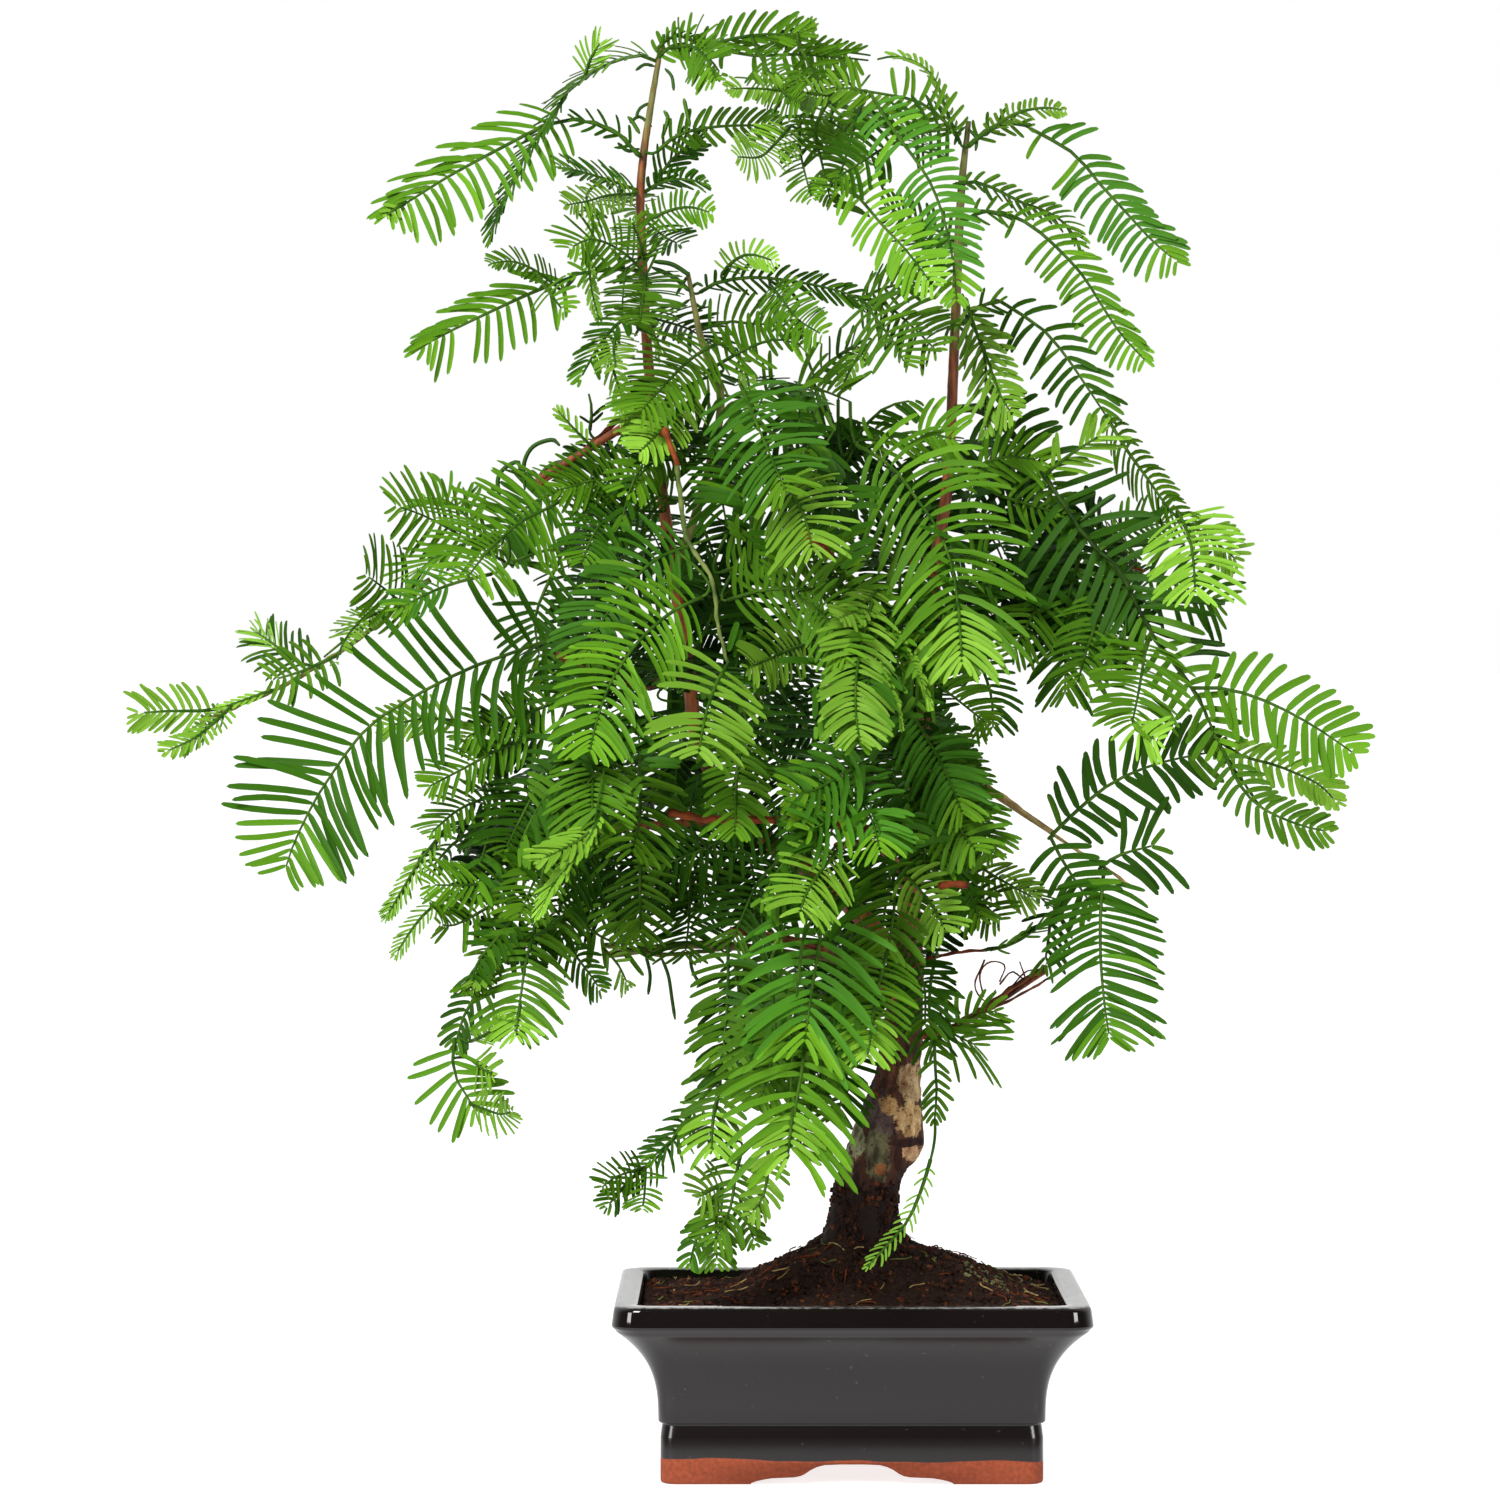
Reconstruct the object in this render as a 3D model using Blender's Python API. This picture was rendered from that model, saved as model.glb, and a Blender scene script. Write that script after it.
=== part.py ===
"""A dawn redwood grown as a bonsai in a glazed pot.

The trunk leans out of a mound of soil and forks into two tall leaders with a small
third one. Boughs leave the trunk and the leaders, and each mass of foliage is one
shoot with flat sprays of needles. A spray is a thin toothed blade.

Lengths are in millimetres. The plant is laid out around the middle of the pot and
moved at the end, so that the origin is under the middle of the whole plant.
"""

import math
import random

import bpy
from mathutils import Matrix, Vector
from mathutils.bvhtree import BVHTree

MM = 0.001
GAP = 0.3
UP = Vector((0, 0, 1))

# Pot
POT_WIDTH = 149.4
POT_DEPTH = 112.0
POT_HEIGHT = 56.8
RIM_BAND = 7.1
RIM_WALL = 8.5
RIM_CORNER = 9.0
WAIST_INSET = 14.3
BAND_INSET = 15.0
BAND_TOP = 19.0
FOOT_HEIGHT = 7.5
FOOT_WALL = 8.0
WALL = 6.5
FLARE_POWER = 2.9
FLOOR_TOP = 13.0
RECESS_TOP = 5.5
CORNER_POINTS = 3
ARCH_FRONT = 32.0
ARCH_SIDE = 24.0

# Soil
SOIL_EDGE = 51.5
MOUND_TOP = 68.0
MOUND_SEAT = 19.0

# Foliage
STRIP_HALF = 0.75
BLADE_HALF = 0.46
ROOT_SHARE = 0.6
STEM_RADIUS = 1.15
STEM_SIDES = 3
TOOTH_PITCH = 9.4
PAIR_FIRST = 0.26
PAIR_SPAN = 0.5
GUARD = 0.5
FORWARD = math.radians(58)
CROWN_LOW = Vector((-228, -132, 60))
CROWN_HIGH = Vector((165, 135, 464))

# Colours as linear red, green and blue
BARK = (0.12, 0.065, 0.04)
YOUNG_BARK = (0.17, 0.08, 0.045)
LEAF = (0.10, 0.24, 0.03)
GLAZE = (0.018, 0.018, 0.022)
EARTH = (0.05, 0.027, 0.016)

# Limbs: centre line points with their radius, from the foot to the tip
TRUNK = (
    (4.0, 0, 68.3, 13.0),
    (4.2, 0, 74, 11.4),
    (4.8, 0, 86, 10.2),
    (7.5, 0, 95, 9.9),
    (11.0, 0, 104, 10.1),
    (13.2, 0, 112, 9.6),
    (15.3, 0, 125, 7.2),
    (17.6, 1, 147, 5.7),
    (18.6, 2, 170, 4.6),
)
LEADERS = {
    "right_leader": (
        (18.7, 2, 170.4, 3.7),
        (21, 2, 205, 3.0),
        (25, -1, 245, 2.5),
        (27, 0, 285, 2.1),
        (31, 0, 313, 1.8),
        (33, 0, 355, 1.6),
        (35, 0, 402, 1.3),
        (37.5, 0, 427, 0.8),
    ),
    "left_leader": (
        (17, 2, 160, 3.3),
        (-4, 10, 182, 3.0),
        (-30, 13, 202, 2.7),
        (-47, 11, 226, 2.4),
        (-52, 6, 258, 2.1),
        (-57, 3, 290, 1.9),
        (-63, 0, 338, 1.7),
        (-66, 0, 386, 1.5),
        (-66, 0, 412, 1.3),
        (-60, 0, 451, 0.8),
    ),
    "middle_leader": (
        (-56, 3, 283, 1.5),
        (-46, -4, 312, 1.4),
        (-41, -5, 339, 1.3),
        (-47, -4, 357, 1.1),
        (-51.5, -3, 379, 0.7),
    ),
}

# Boughs: the limb that carries each, the height it leaves at, then its points and radii
BOUGHS = {
    "left_bough": ("left_leader", 338, 1.5, ((-72, -4, 330, 1.35), (-99, -10, 313, 1.1))),
    "left_mid_bough": ("left_leader", 258, 1.6, ((-66, -10, 248, 1.4), (-92, -28, 258, 1.1))),
    "low_left_bough": ("right_leader", 200, 1.7, ((-24, -9, 206, 1.5), (-80, -15, 203, 1.1))),
    "bottom_left_bough": ("trunk", 156, 1.6, ((-41, -6, 166, 1.4), (-78, -10, 163, 1.1))),
    "right_bough": ("right_leader", 336, 1.4, ((42, -2, 335, 1.25), (54, -5, 325, 1.1))),
    "right_low_bough": ("right_leader", 228, 1.4, ((44, -8, 215, 1.2), (63.5, -14, 202, 0.9))),
    "front_bough": ("right_leader", 186, 1.6, ((8, -20, 198, 1.4), (-5, -42, 199, 1.1))),
    "front_left_bough": ("trunk", 146, 1.6, ((-8, -18, 165, 1.4), (-38, -27, 172, 1.1))),
    "dead_twig": ("trunk", 137, 1.3, ((32, -5, 139, 1.1), (62, -8, 158, 0.8))),
}

# Masses of foliage, one shoot each. The limb and the height that the shoot leaves at (a
# bough is left at its tip), the shoot's tip, how far its bend stands above its root and
# how far out, its roll, the pairs of side sprays with their length, and needle length.
# A last entry names extra sprays as (place along the shoot, tip).
MASSES = {
    "left_top_west": ("left_leader", 447, (-114, 14, 389), 2, 0.7, 0, 1, 42, 13),
    "left_top_east": ("left_leader", 442, (6, 15, 449), 14, 0.5, 20, 1, 42, 15),
    "left_top_back": ("left_leader", 438, (-72, 66, 425), 14, 0.5, 0, 1, 42, 14),
    "left_over_right": ("left_leader", 430, (30, -48, 366), 26, 0.8, 25, 1, 42, 14,
                        (0.1, (-42, -52, 428))),
    "left_upper_west": ("left_leader", 418, (-152, -25, 393), 25, 0.4, 35, 2, 36, 19,
                        (0.12, (-92, -50, 392))),
    "left_mid_west": ("left_leader", 380, (-141, -15, 360), 4, 0.5, 12, 2, 36, 16,
                      (0.06, (-72, -42, 350))),
    "left_high_back": ("left_leader", 398, (-110, 62, 366), 20, 0.5, 0, 1, 45, 16),
    "between_high": ("left_leader", 410, (0, 32, 408), 14, 0.5, 40, 2, 42, 15,
                     (0.12, (-40, -20, 391))),
    "between_low": ("middle_leader", 372, (-2, -24, 352), 10, 0.5, 15, 2, 38, 14),
    "right_top_west": ("right_leader", 421, (5, -8, 445), 27, 0.25, 15, 0, 0, 14),
    "right_top_back": ("right_leader", 412, (-6, 56, 438), 20, 0.5, 0, 1, 40, 15),
    "right_top_east": ("right_leader", 417, (106, -20, 381), 25, 0.5, 20, 0, 0, 19,
                       (0.16, (68, -28, 429))),
    "right_upper_front": ("right_leader", 405, (71, -58, 381), 6, 0.5, 0, 1, 34, 14),
    "right_upper_east": ("right_leader", 392, (99, 10, 349), 8, 0.5, 18, 1, 26, 16),
    "right_high_back": ("right_leader", 384, (58, 78, 366), 18, 0.5, 0, 1, 45, 16),
    "right_mid_east": ("right_leader", 364, (123, -15, 284), 10, 0.35, 30, 2, 38, 17,
                       (0.1, (47, -42, 331))),
    "right_long": ("right_bough", None, (152, -30, 202), -50, 0.45, 55, 0, 0, 17,
                   (0.2, (72, -2, 246)), (0.5, (84, -38, 238)), (0.62, (163, -18, 224)),
                   (0.8, (156, -44, 214)), (0.35, (118, 28, 262))),
    "right_mid_back": ("right_leader", 326, (84, 84, 284), 16, 0.5, 0, 2, 45, 17),
    "left_far": ("left_bough", None, (-223, -20, 242), -66, 0.5, 40, 0, 0, 15,
                 (0.18, (-124, -48, 258)), (0.42, (-190, -2, 272)), (0.6, (-196, -46, 226)),
                 (0.72, (-218, 4, 252)), (0.3, (-150, 22, 250))),
    "left_dome_front": ("left_leader", 346, (-119, -66, 284), 12, 0.6, 0, 2, 44, 18),
    "left_dome_west": ("left_leader", 320, (-150, 20, 300), 24, 0.5, 25, 2, 44, 18),
    "left_mid_back": ("left_leader", 296, (-122, 88, 262), 20, 0.5, 0, 2, 48, 18),
    "left_broad": ("left_mid_bough", None, (-177, -50, 195), 4, 0.6, 70, 0, 0, 28,
                   (0.12, (-100, -62, 216))),
    "low_left": ("low_left_bough", None, (-146, -30, 176), 20, 0.5, 30, 2, 40, 16,
                 (0.25, (-116, -60, 168)), (0.4, (-136, 0, 214))),
    "left_low_back": ("left_leader", 222, (-108, 92, 184), 20, 0.5, 0, 2, 48, 17),
    "bottom_left": ("bottom_left_bough", None, (-116, -25, 109), 4, 0.9, 75, 0, 0, 17,
                    (0.15, (-104, -46, 138)), (0.3, (-134, -2, 150))),
    "centre_drooping": ("left_leader", 328, (-42, -86, 226), 10, 0.7, 0, 2, 46, 16,
                        (0.2, (-18, -52, 292))),
    "centre_bright": ("right_leader", 286, (1, -92, 232), 16, 0.6, 0, 2, 40, 15),
    "centre_broad": ("middle_leader", 342, (33, -75, 258), 16, 0.65, 0, 2, 46, 21),
    "centre_back": ("right_leader", 262, (8, 116, 236), 24, 0.5, 0, 2, 50, 18),
    "right_inner": ("right_leader", 274, (52, -26, 232), 6, 0.6, 0, 1, 34, 14),
    "right_hanging": ("right_leader", 300, (70, 4, 246), 14, 0.7, 55, 1, 34, 16),
    "right_low": ("right_low_bough", None, (111, -20, 226), 4, 0.5, 70, 0, 0, 15,
                  (0.03, (80, -26, 136)), (0.3, (92, -40, 186))),
    "right_twig": ("trunk", 158, (66, -12, 179), 4, 0.7, 60, 0, 0, 9),
    "right_front": ("right_leader", 244, (46, -54, 190), 14, 0.6, 0, 2, 38, 16),
    "right_low_front": ("right_leader", 208, (44, -40, 172), 10, 0.6, 0, 1, 34, 17),
    "right_low_back": ("right_leader", 232, (50, 86, 200), 20, 0.5, 0, 2, 45, 17),
    "low_tuft": ("trunk", 126, (68, -26, 119), 14, 0.6, 0, 1, 28, 14),
    "thin_hanging": ("trunk", 128, (5, -62, 71), 6, 0.6, 0, 0, 0, 7),
    "front_hanging": ("front_bough", None, (-20, -86, 108), -8, 0.9, 0, 1, 66, 22),
    "front_left_hanging": ("front_left_bough", None, (-43, -54, 70), -10, 0.7, 0, 1, 52, 18,
                           (0.3, (-79, -26, 87))),
    "front_low": ("trunk", 150, (6, -60, 134), 22, 0.6, 0, 2, 34, 15),
    "front_bright": ("right_leader", 222, (-14, -104, 184), 18, 0.6, 0, 2, 38, 14),
    "front_left": ("left_leader", 250, (-79, -82, 206), 18, 0.7, 0, 2, 46, 19,
                   (0.35, (-98, -78, 176))),
    "low_back": ("trunk", 152, (14, 96, 130), 26, 0.5, 0, 2, 45, 17),
}


def clear_scene():
    for thing in list(bpy.data.objects):
        bpy.data.objects.remove(thing, do_unlink=True)


def material(name, colour, roughness):
    finish = bpy.data.materials.new(name)
    finish.use_nodes = True
    shader = finish.node_tree.nodes["Principled BSDF"]
    shader.inputs["Base Color"].default_value = (*colour, 1)
    shader.inputs["Roughness"].default_value = roughness
    shader.inputs["Metallic"].default_value = 0
    return finish


def new_object(name, points, faces, finish):
    """Make an object from points in millimetres and outward faces."""
    mesh = bpy.data.meshes.new(name)
    mesh.from_pydata([point * MM for point in points], [], faces)
    mesh.materials.append(finish)
    thing = bpy.data.objects.new(name, mesh)
    bpy.context.scene.collection.objects.link(thing)
    return thing


def tree_of(thing):
    """A search tree over an object's faces, in millimetres."""
    mesh = thing.data
    points = [vertex.co / MM for vertex in mesh.vertices]
    return BVHTree.FromPolygons(points, [tuple(face.vertices) for face in mesh.polygons])


# Pot and soil

def rounded_ring(half_x, half_y, radius, height):
    """Points round a rectangle with rounded corners, anticlockwise from above."""
    points = []
    for quarter, (sign_x, sign_y) in enumerate(((1, 1), (-1, 1), (-1, -1), (1, -1))):
        centre = Vector((sign_x * (half_x - radius), sign_y * (half_y - radius), height))
        for step in range(CORNER_POINTS):
            turn = math.pi / 2 * (quarter + step / (CORNER_POINTS - 1))
            points.append(centre + Vector((math.cos(turn), math.sin(turn), 0)) * radius)
    return points


def loft(rings):
    """Join rings of equal count into one closed skin, first and last ring capped."""
    count = len(rings[0])
    points = [point for ring in rings for point in ring]
    faces = [tuple(range(count - 1, -1, -1))]
    for row in range(len(rings) - 1):
        for column in range(count):
            here = row * count + column
            beside = row * count + (column + 1) % count
            faces.append((here, beside, beside + count, here + count))
    last = (len(rings) - 1) * count
    faces.append(tuple(range(last, last + count)))
    return points, faces


def flare_inset(height):
    """How far the pot's outside stands in from the rim's, between waist and rim band."""
    band_bottom = POT_HEIGHT - RIM_BAND
    share = (height - BAND_TOP) / (band_bottom - BAND_TOP)
    return WAIST_INSET * (1 - share ** FLARE_POWER)


def pot_ring(height, inset, radius):
    return rounded_ring(POT_WIDTH / 2 - inset, POT_DEPTH / 2 - inset, radius, height)


def inner_inset(height):
    """Inset of the pot's inside wall, which follows the outside flare."""
    lip = POT_HEIGHT - RIM_BAND
    if height >= lip:
        return RIM_WALL
    return max(RIM_WALL, flare_inset(max(height, BAND_TOP)) + WALL)


def ogee_cutter(name, half_width, along_x):
    """A prism with the outline of the arch between two feet."""
    steps = ((1.0, -1.0), (0.96, 0.9), (0.82, 1.8), (0.52, 2.5), (0.38, 4.6), (0.26, 6.1))
    right = [(share * half_width, height) for share, height in steps]
    outline = right + [(-across, height) for across, height in reversed(right)]
    rings = []
    for end in (-POT_WIDTH, POT_WIDTH):
        if along_x:
            rings.append([Vector((end, across, height)) for across, height in outline])
        else:
            rings.append([Vector((-across, end, height)) for across, height in outline])
    points, faces = loft(rings)
    return new_object(name, points, faces, material(name, GLAZE, 0.5))


def apply_modifiers(thing):
    """Replace an object's mesh with its evaluated mesh."""
    graph = bpy.context.evaluated_depsgraph_get()
    mesh = bpy.data.meshes.new_from_object(thing.evaluated_get(graph))
    thing.modifiers.clear()
    thing.data = mesh


def make_pot():
    band_bottom = POT_HEIGHT - RIM_BAND
    rings = [
        pot_ring(RECESS_TOP, BAND_INSET + FOOT_WALL + 1, 3),
        pot_ring(0, BAND_INSET + FOOT_WALL, 3),
        pot_ring(0, BAND_INSET + 0.8, 4.5),
        pot_ring(0.8, BAND_INSET, 5),
        pot_ring(FOOT_HEIGHT, BAND_INSET, 5),
        pot_ring(BAND_TOP - 1.5, BAND_INSET, 5),
        pot_ring(BAND_TOP, WAIST_INSET, 5),
    ]
    for step in range(1, 6):
        height = BAND_TOP + (band_bottom - BAND_TOP) * (step / 6) ** 0.8
        rings.append(pot_ring(height, flare_inset(height), 5 + step * 0.6))
    rings += [
        pot_ring(band_bottom, 0.6, RIM_CORNER),
        pot_ring(band_bottom + 1, 0, RIM_CORNER),
        pot_ring(POT_HEIGHT - 1.2, 0, RIM_CORNER),
        pot_ring(POT_HEIGHT, 1.2, RIM_CORNER - 1),
        pot_ring(POT_HEIGHT, RIM_WALL - 1, 6),
        pot_ring(POT_HEIGHT - 1, RIM_WALL, 5),
    ]
    for height in (band_bottom, 44, 36, 26, FLOOR_TOP):
        rings.append(pot_ring(height, inner_inset(height), 4.5))
    points, faces = loft(rings)
    pot = new_object("pot", points, faces, material("pot_glaze", GLAZE, 0.15))
    cutters = [ogee_cutter("arch_front", ARCH_FRONT, False),
               ogee_cutter("arch_side", ARCH_SIDE, True)]
    for cutter in cutters:
        cut = pot.modifiers.new(cutter.name, "BOOLEAN")
        cut.object = cutter
        cut.operation = "DIFFERENCE"
    apply_modifiers(pot)
    for cutter in cutters:
        bpy.data.objects.remove(cutter, do_unlink=True)
    return pot


def make_soil():
    rings = []
    for height in (FLOOR_TOP + GAP, 26, 36, 44, POT_HEIGHT - RIM_BAND):
        rings.append(pot_ring(height, inner_inset(height) + GAP, 4.2))
    rings.append(pot_ring(SOIL_EDGE, RIM_WALL + GAP, 4.2))
    seat = Vector((TRUNK[0][0], TRUNK[0][1], 0))
    for share in (0.3, 0.55, 0.78, 1.0):
        height = SOIL_EDGE + (MOUND_TOP - SOIL_EDGE) * (3 * share ** 2 - 2 * share ** 3)
        outer = pot_ring(height, RIM_WALL + GAP, 4.2)
        ring = []
        for point in outer:
            flat = Vector((point.x, point.y, 0)) - seat
            near = seat + flat.normalized() * MOUND_SEAT
            spot = Vector((point.x, point.y, 0)).lerp(near, share)
            ring.append(Vector((spot.x, spot.y, height)))
        rings.append(ring)
    points, faces = loft(rings)
    return new_object("soil", points, faces, material("soil", EARTH, 0.95))


# Limbs

def smooth_line(rows, step):
    """Stations (point, radius) along a smooth curve through rows of x, y, z, radius."""
    rows = [Vector(row) for row in rows]
    rows = [rows[0] * 2 - rows[1], *rows, rows[-1] * 2 - rows[-2]]
    stations = []
    for index in range(1, len(rows) - 2):
        before, here, after, later = rows[index - 1:index + 3]
        parts = max(1, round((after - here).length / step))
        for part in range(parts):
            t = part / parts
            spot = 0.5 * (2 * here + (after - before) * t
                          + (2 * before - 5 * here + 4 * after - later) * t ** 2
                          + (3 * here - before - 3 * after + later) * t ** 3)
            stations.append((Vector(spot[:3]), spot[3]))
    stations.append((Vector(rows[-2][:3]), rows[-2][3]))
    return stations


def rings_along(stations, sides, relief=None, level_foot=False):
    """Rings of points square to a line of stations, turned as little as can be."""
    rings = []
    across = None
    for index, (point, radius) in enumerate(stations):
        before = stations[max(index - 1, 0)][0]
        after = stations[min(index + 1, len(stations) - 1)][0]
        tangent = (after - before).normalized()
        if level_foot and index == 0:
            tangent = UP
        if across is None:
            across = Vector((1, 0, 0)) if abs(tangent.x) < 0.8 else Vector((0, 1, 0))
        across = (across - tangent * across.dot(tangent)).normalized()
        over = tangent.cross(across)
        ring = []
        for side in range(sides):
            turn = 2 * math.pi * side / sides
            swell = relief(turn, point.z) if relief else 1
            arm = across * math.cos(turn) + over * math.sin(turn)
            ring.append(point + arm * radius * swell)
        rings.append(ring)
    return rings


def trunk_relief(turn, height):
    """Root flare in five lobes at the foot, and a knot on the right of the bend."""
    flare = max(0, 1 - (height - TRUNK[0][2]) / 16)
    lobes = 1 + flare * (0.18 * math.cos(5 * turn + 0.6) + 0.1)
    away = math.atan2(math.sin(turn), math.cos(turn))
    knot = 0.24 * math.exp(-(away / 0.5) ** 2 - ((height - 105) / 5) ** 2)
    return lobes + knot


def line_point(stations, height):
    """The point on a rising limb's centre line at a height."""
    for (low, _), (high, _) in zip(stations, stations[1:]):
        if low.z <= height <= high.z:
            return low.lerp(high, (height - low.z) / (high.z - low.z))
    return stations[-1][0]


def is_clear(ring, tree):
    """True when a ring's corners, sides and middle lie outside a limb, a gap away."""
    middle = sum(ring, Vector()) / len(ring)
    sides = [(a + b) / 2 for a, b in zip(ring, ring[1:] + ring[:1])]
    for point in [*ring, *sides, middle]:
        near, normal, _, distance = tree.find_nearest(point)
        if distance < GAP or (point - near).dot(normal) < 0:
            return False
    return True


def start_clear(stations, sides, tree):
    """Drop the stations that lie in the carrying limb, down to a gap from its skin."""
    fine = []
    for (point, radius), (next_point, next_radius) in zip(stations, stations[1:]):
        parts = max(1, round((next_point - point).length / 0.1))
        for part in range(parts):
            share = part / parts
            fine.append((point.lerp(next_point, share), radius + (next_radius - radius) * share))
    index = 0
    while not is_clear(rings_along(fine[index:index + 2], sides)[0], tree):
        index += 1
    start = fine[index]
    travelled = (start[0] - stations[0][0]).length
    rest = [row for row in stations if (row[0] - stations[0][0]).length > travelled + 1]
    return [start, *rest]


def make_limb(name, stations, sides, finish, relief=None, level_foot=False):
    points, faces = loft(rings_along(stations, sides, relief, level_foot))
    return new_object(name, points, faces, finish)


def make_limbs():
    """Trunk, leaders and boughs. Gives each limb's stations and search tree."""
    bark = material("bark", BARK, 0.85)
    young = material("young_bark", YOUNG_BARK, 0.7)
    lines = {"trunk": smooth_line(TRUNK, 9)}
    trees = {"trunk": tree_of(make_limb("trunk", lines["trunk"], 12, bark, trunk_relief, True))}
    for name, rows in LEADERS.items():
        stations = smooth_line(rows, 15)
        carrier = "left_leader" if name == "middle_leader" else "trunk"
        if name != "right_leader":
            stations = start_clear(stations, 6, trees[carrier])
        lines[name] = stations
        trees[name] = tree_of(make_limb(name, stations, 6, young))
    for name, (carrier, height, radius, rows) in BOUGHS.items():
        root = (*line_point(lines[carrier], height), radius)
        stations = start_clear(smooth_line((root, *rows), 12), 5, trees[carrier])
        lines[name] = stations
        trees[name] = tree_of(make_limb(name, stations, 5, young))
    return lines, trees


# Foliage

class Spray:
    """A flat spray of needles along a bent midrib."""

    def __init__(self, root, bend, tip, across, reach, place=0.0):
        self.place = place
        self.start = 0.0
        self.root = root
        self.bend = bend
        self.tip = tip
        self.across = across
        self.reach = reach

    def point(self, t):
        return self.root * (1 - t) ** 2 + self.bend * 2 * t * (1 - t) + self.tip * t ** 2

    def frame(self, t):
        """Tangent, sideways and facing directions at a place along the midrib."""
        tangent = ((self.bend - self.root) * (1 - t) + (self.tip - self.bend) * t).normalized()
        sideways = (self.across - tangent * self.across.dot(tangent)).normalized()
        return tangent, sideways, sideways.cross(tangent)

    def length(self):
        spots = [self.point(self.start + (1 - self.start) * step / 8) for step in range(9)]
        return sum((b - a).length for a, b in zip(spots, spots[1:]))


def shoot_spray(row, root):
    """The main spray of a mass, from its row of sizes."""
    tip, rise, out, roll, needle = Vector(row[2]), row[3], row[4], row[5], row[8]
    level = Vector((tip.x - root.x, tip.y - root.y, 0))
    bend = root + level * out + UP * rise
    across = level.cross(UP).normalized()
    if level.length > 5:
        across = Matrix.Rotation(math.radians(roll), 3, (tip - root).normalized()) @ across
    return Spray(root, bend, tip, across, needle)


def side_spray(main, place, heading, length, droop, reach):
    """A spray that leaves the main one and droops under its weight."""
    root = main.point(place)
    tip = root + (heading * (1 - droop) - UP * droop).normalized() * length
    bend = root + heading * length * 0.5
    facing = main.frame(place)[2]
    return Spray(root, bend, tip, facing.cross(heading).normalized(), reach, place)


def sprays_of(row, main, dice):
    """The main spray, its opposite pairs and its extra sprays."""
    pairs, length, needle = row[6], row[7], row[8]
    sprays = [main]
    for index in range(pairs):
        place = PAIR_FIRST + PAIR_SPAN * index / max(pairs - 1, 1) + dice.uniform(-0.03, 0.03)
        tangent, sideways, facing = main.frame(place)
        for hand in (-1, 1):
            angle = math.radians(dice.uniform(48, 60))
            heading = tangent * math.cos(angle) + sideways * hand * math.sin(angle)
            heading = (heading + facing * dice.uniform(0.05, 0.25)).normalized()
            grown = length * (1.08 - 0.3 * place) * dice.uniform(0.9, 1.1)
            sprays.append(side_spray(main, place, heading, grown, dice.uniform(0.15, 0.4),
                                     needle * 0.85))
    for place, tip in row[9:]:
        root = main.point(place)
        tip = Vector(tip)
        level = Vector((tip.x - root.x, tip.y - root.y, 0))
        bend = root + level * 0.6 + UP * (2 + max(0, tip.z - root.z) * 0.7)
        across = (tip - root).cross(Vector((0.2, 1, 0.3))).normalized()
        sprays.append(Spray(root, bend, tip, across, needle * 0.9, place))
    return sprays


def box_guard(corners):
    """Faces of a six-sided box given as two rings of four corners."""
    return loft([corners[:4], corners[4:]])


def station_corners(spray, t, half, thick):
    point = spray.point(t)
    _, sideways, facing = spray.frame(t)
    across = sideways * half
    over = facing * thick
    return [point - across - over, point + across - over, point + across + over,
            point - across + over]


def touches(points, faces, obstacles):
    guard = BVHTree.FromPolygons(points, faces)
    return any(guard.overlap(tree) for tree in obstacles)


def in_crown(point):
    return all(CROWN_LOW[axis] <= point[axis] <= CROWN_HIGH[axis] for axis in range(3))


def needle_reach(spray, share):
    """Needle length along a spray: short at its root and towards its tip."""
    return spray.reach * min(1, 0.55 + 2.4 * share) * min(1, 0.25 + 1.5 * (1 - share))


def tooth_tip(spray, low, high, hand, reach):
    middle = (low + high) / 2
    tangent, sideways, _ = spray.frame(middle)
    lean = tangent * math.cos(FORWARD) + sideways * hand * math.sin(FORWARD)
    return spray.point(middle) + lean * reach


def tooth_is_free(spray, low, high, hand, reach, obstacles):
    tip = tooth_tip(spray, low, high, hand, reach + GUARD)
    if not in_crown(tip):
        return False
    thick = BLADE_HALF + GUARD
    near = station_corners(spray, low, STRIP_HALF + GUARD, thick)
    far = station_corners(spray, high, STRIP_HALF + GUARD, thick)
    side = (1, 2) if hand > 0 else (0, 3)
    points = [near[side[0]], near[side[1]], far[side[1]], far[side[0]], tip]
    faces = [(0, 1, 2, 3), (0, 1, 4), (1, 2, 4), (2, 3, 4), (3, 0, 4)]
    return not touches(points, faces, obstacles)


def blade_places(spray, obstacles):
    """Stations along a spray, up to where something else is in the way."""
    count = max(3, round(spray.length() / TOOTH_PITCH))
    places = [spray.start + (1 - spray.start) * step / count for step in range(count + 1)]
    free = [places[0]]
    for low, high in zip(places, places[1:]):
        corners = (station_corners(spray, low, STRIP_HALF + GUARD, BLADE_HALF + GUARD)
                   + station_corners(spray, high, STRIP_HALF + GUARD, BLADE_HALF + GUARD))
        if not in_crown(spray.point(high)) or touches(*box_guard(corners), obstacles):
            break
        free.append(high)
    return free if len(free) >= max(3, count * 0.4) else None


def strip_tree(spray, places):
    """A search tree over the strip that runs along a spray's midrib."""
    rings = [station_corners(spray, place, STRIP_HALF, BLADE_HALF) for place in places]
    return BVHTree.FromPolygons(*loft(rings))


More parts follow.
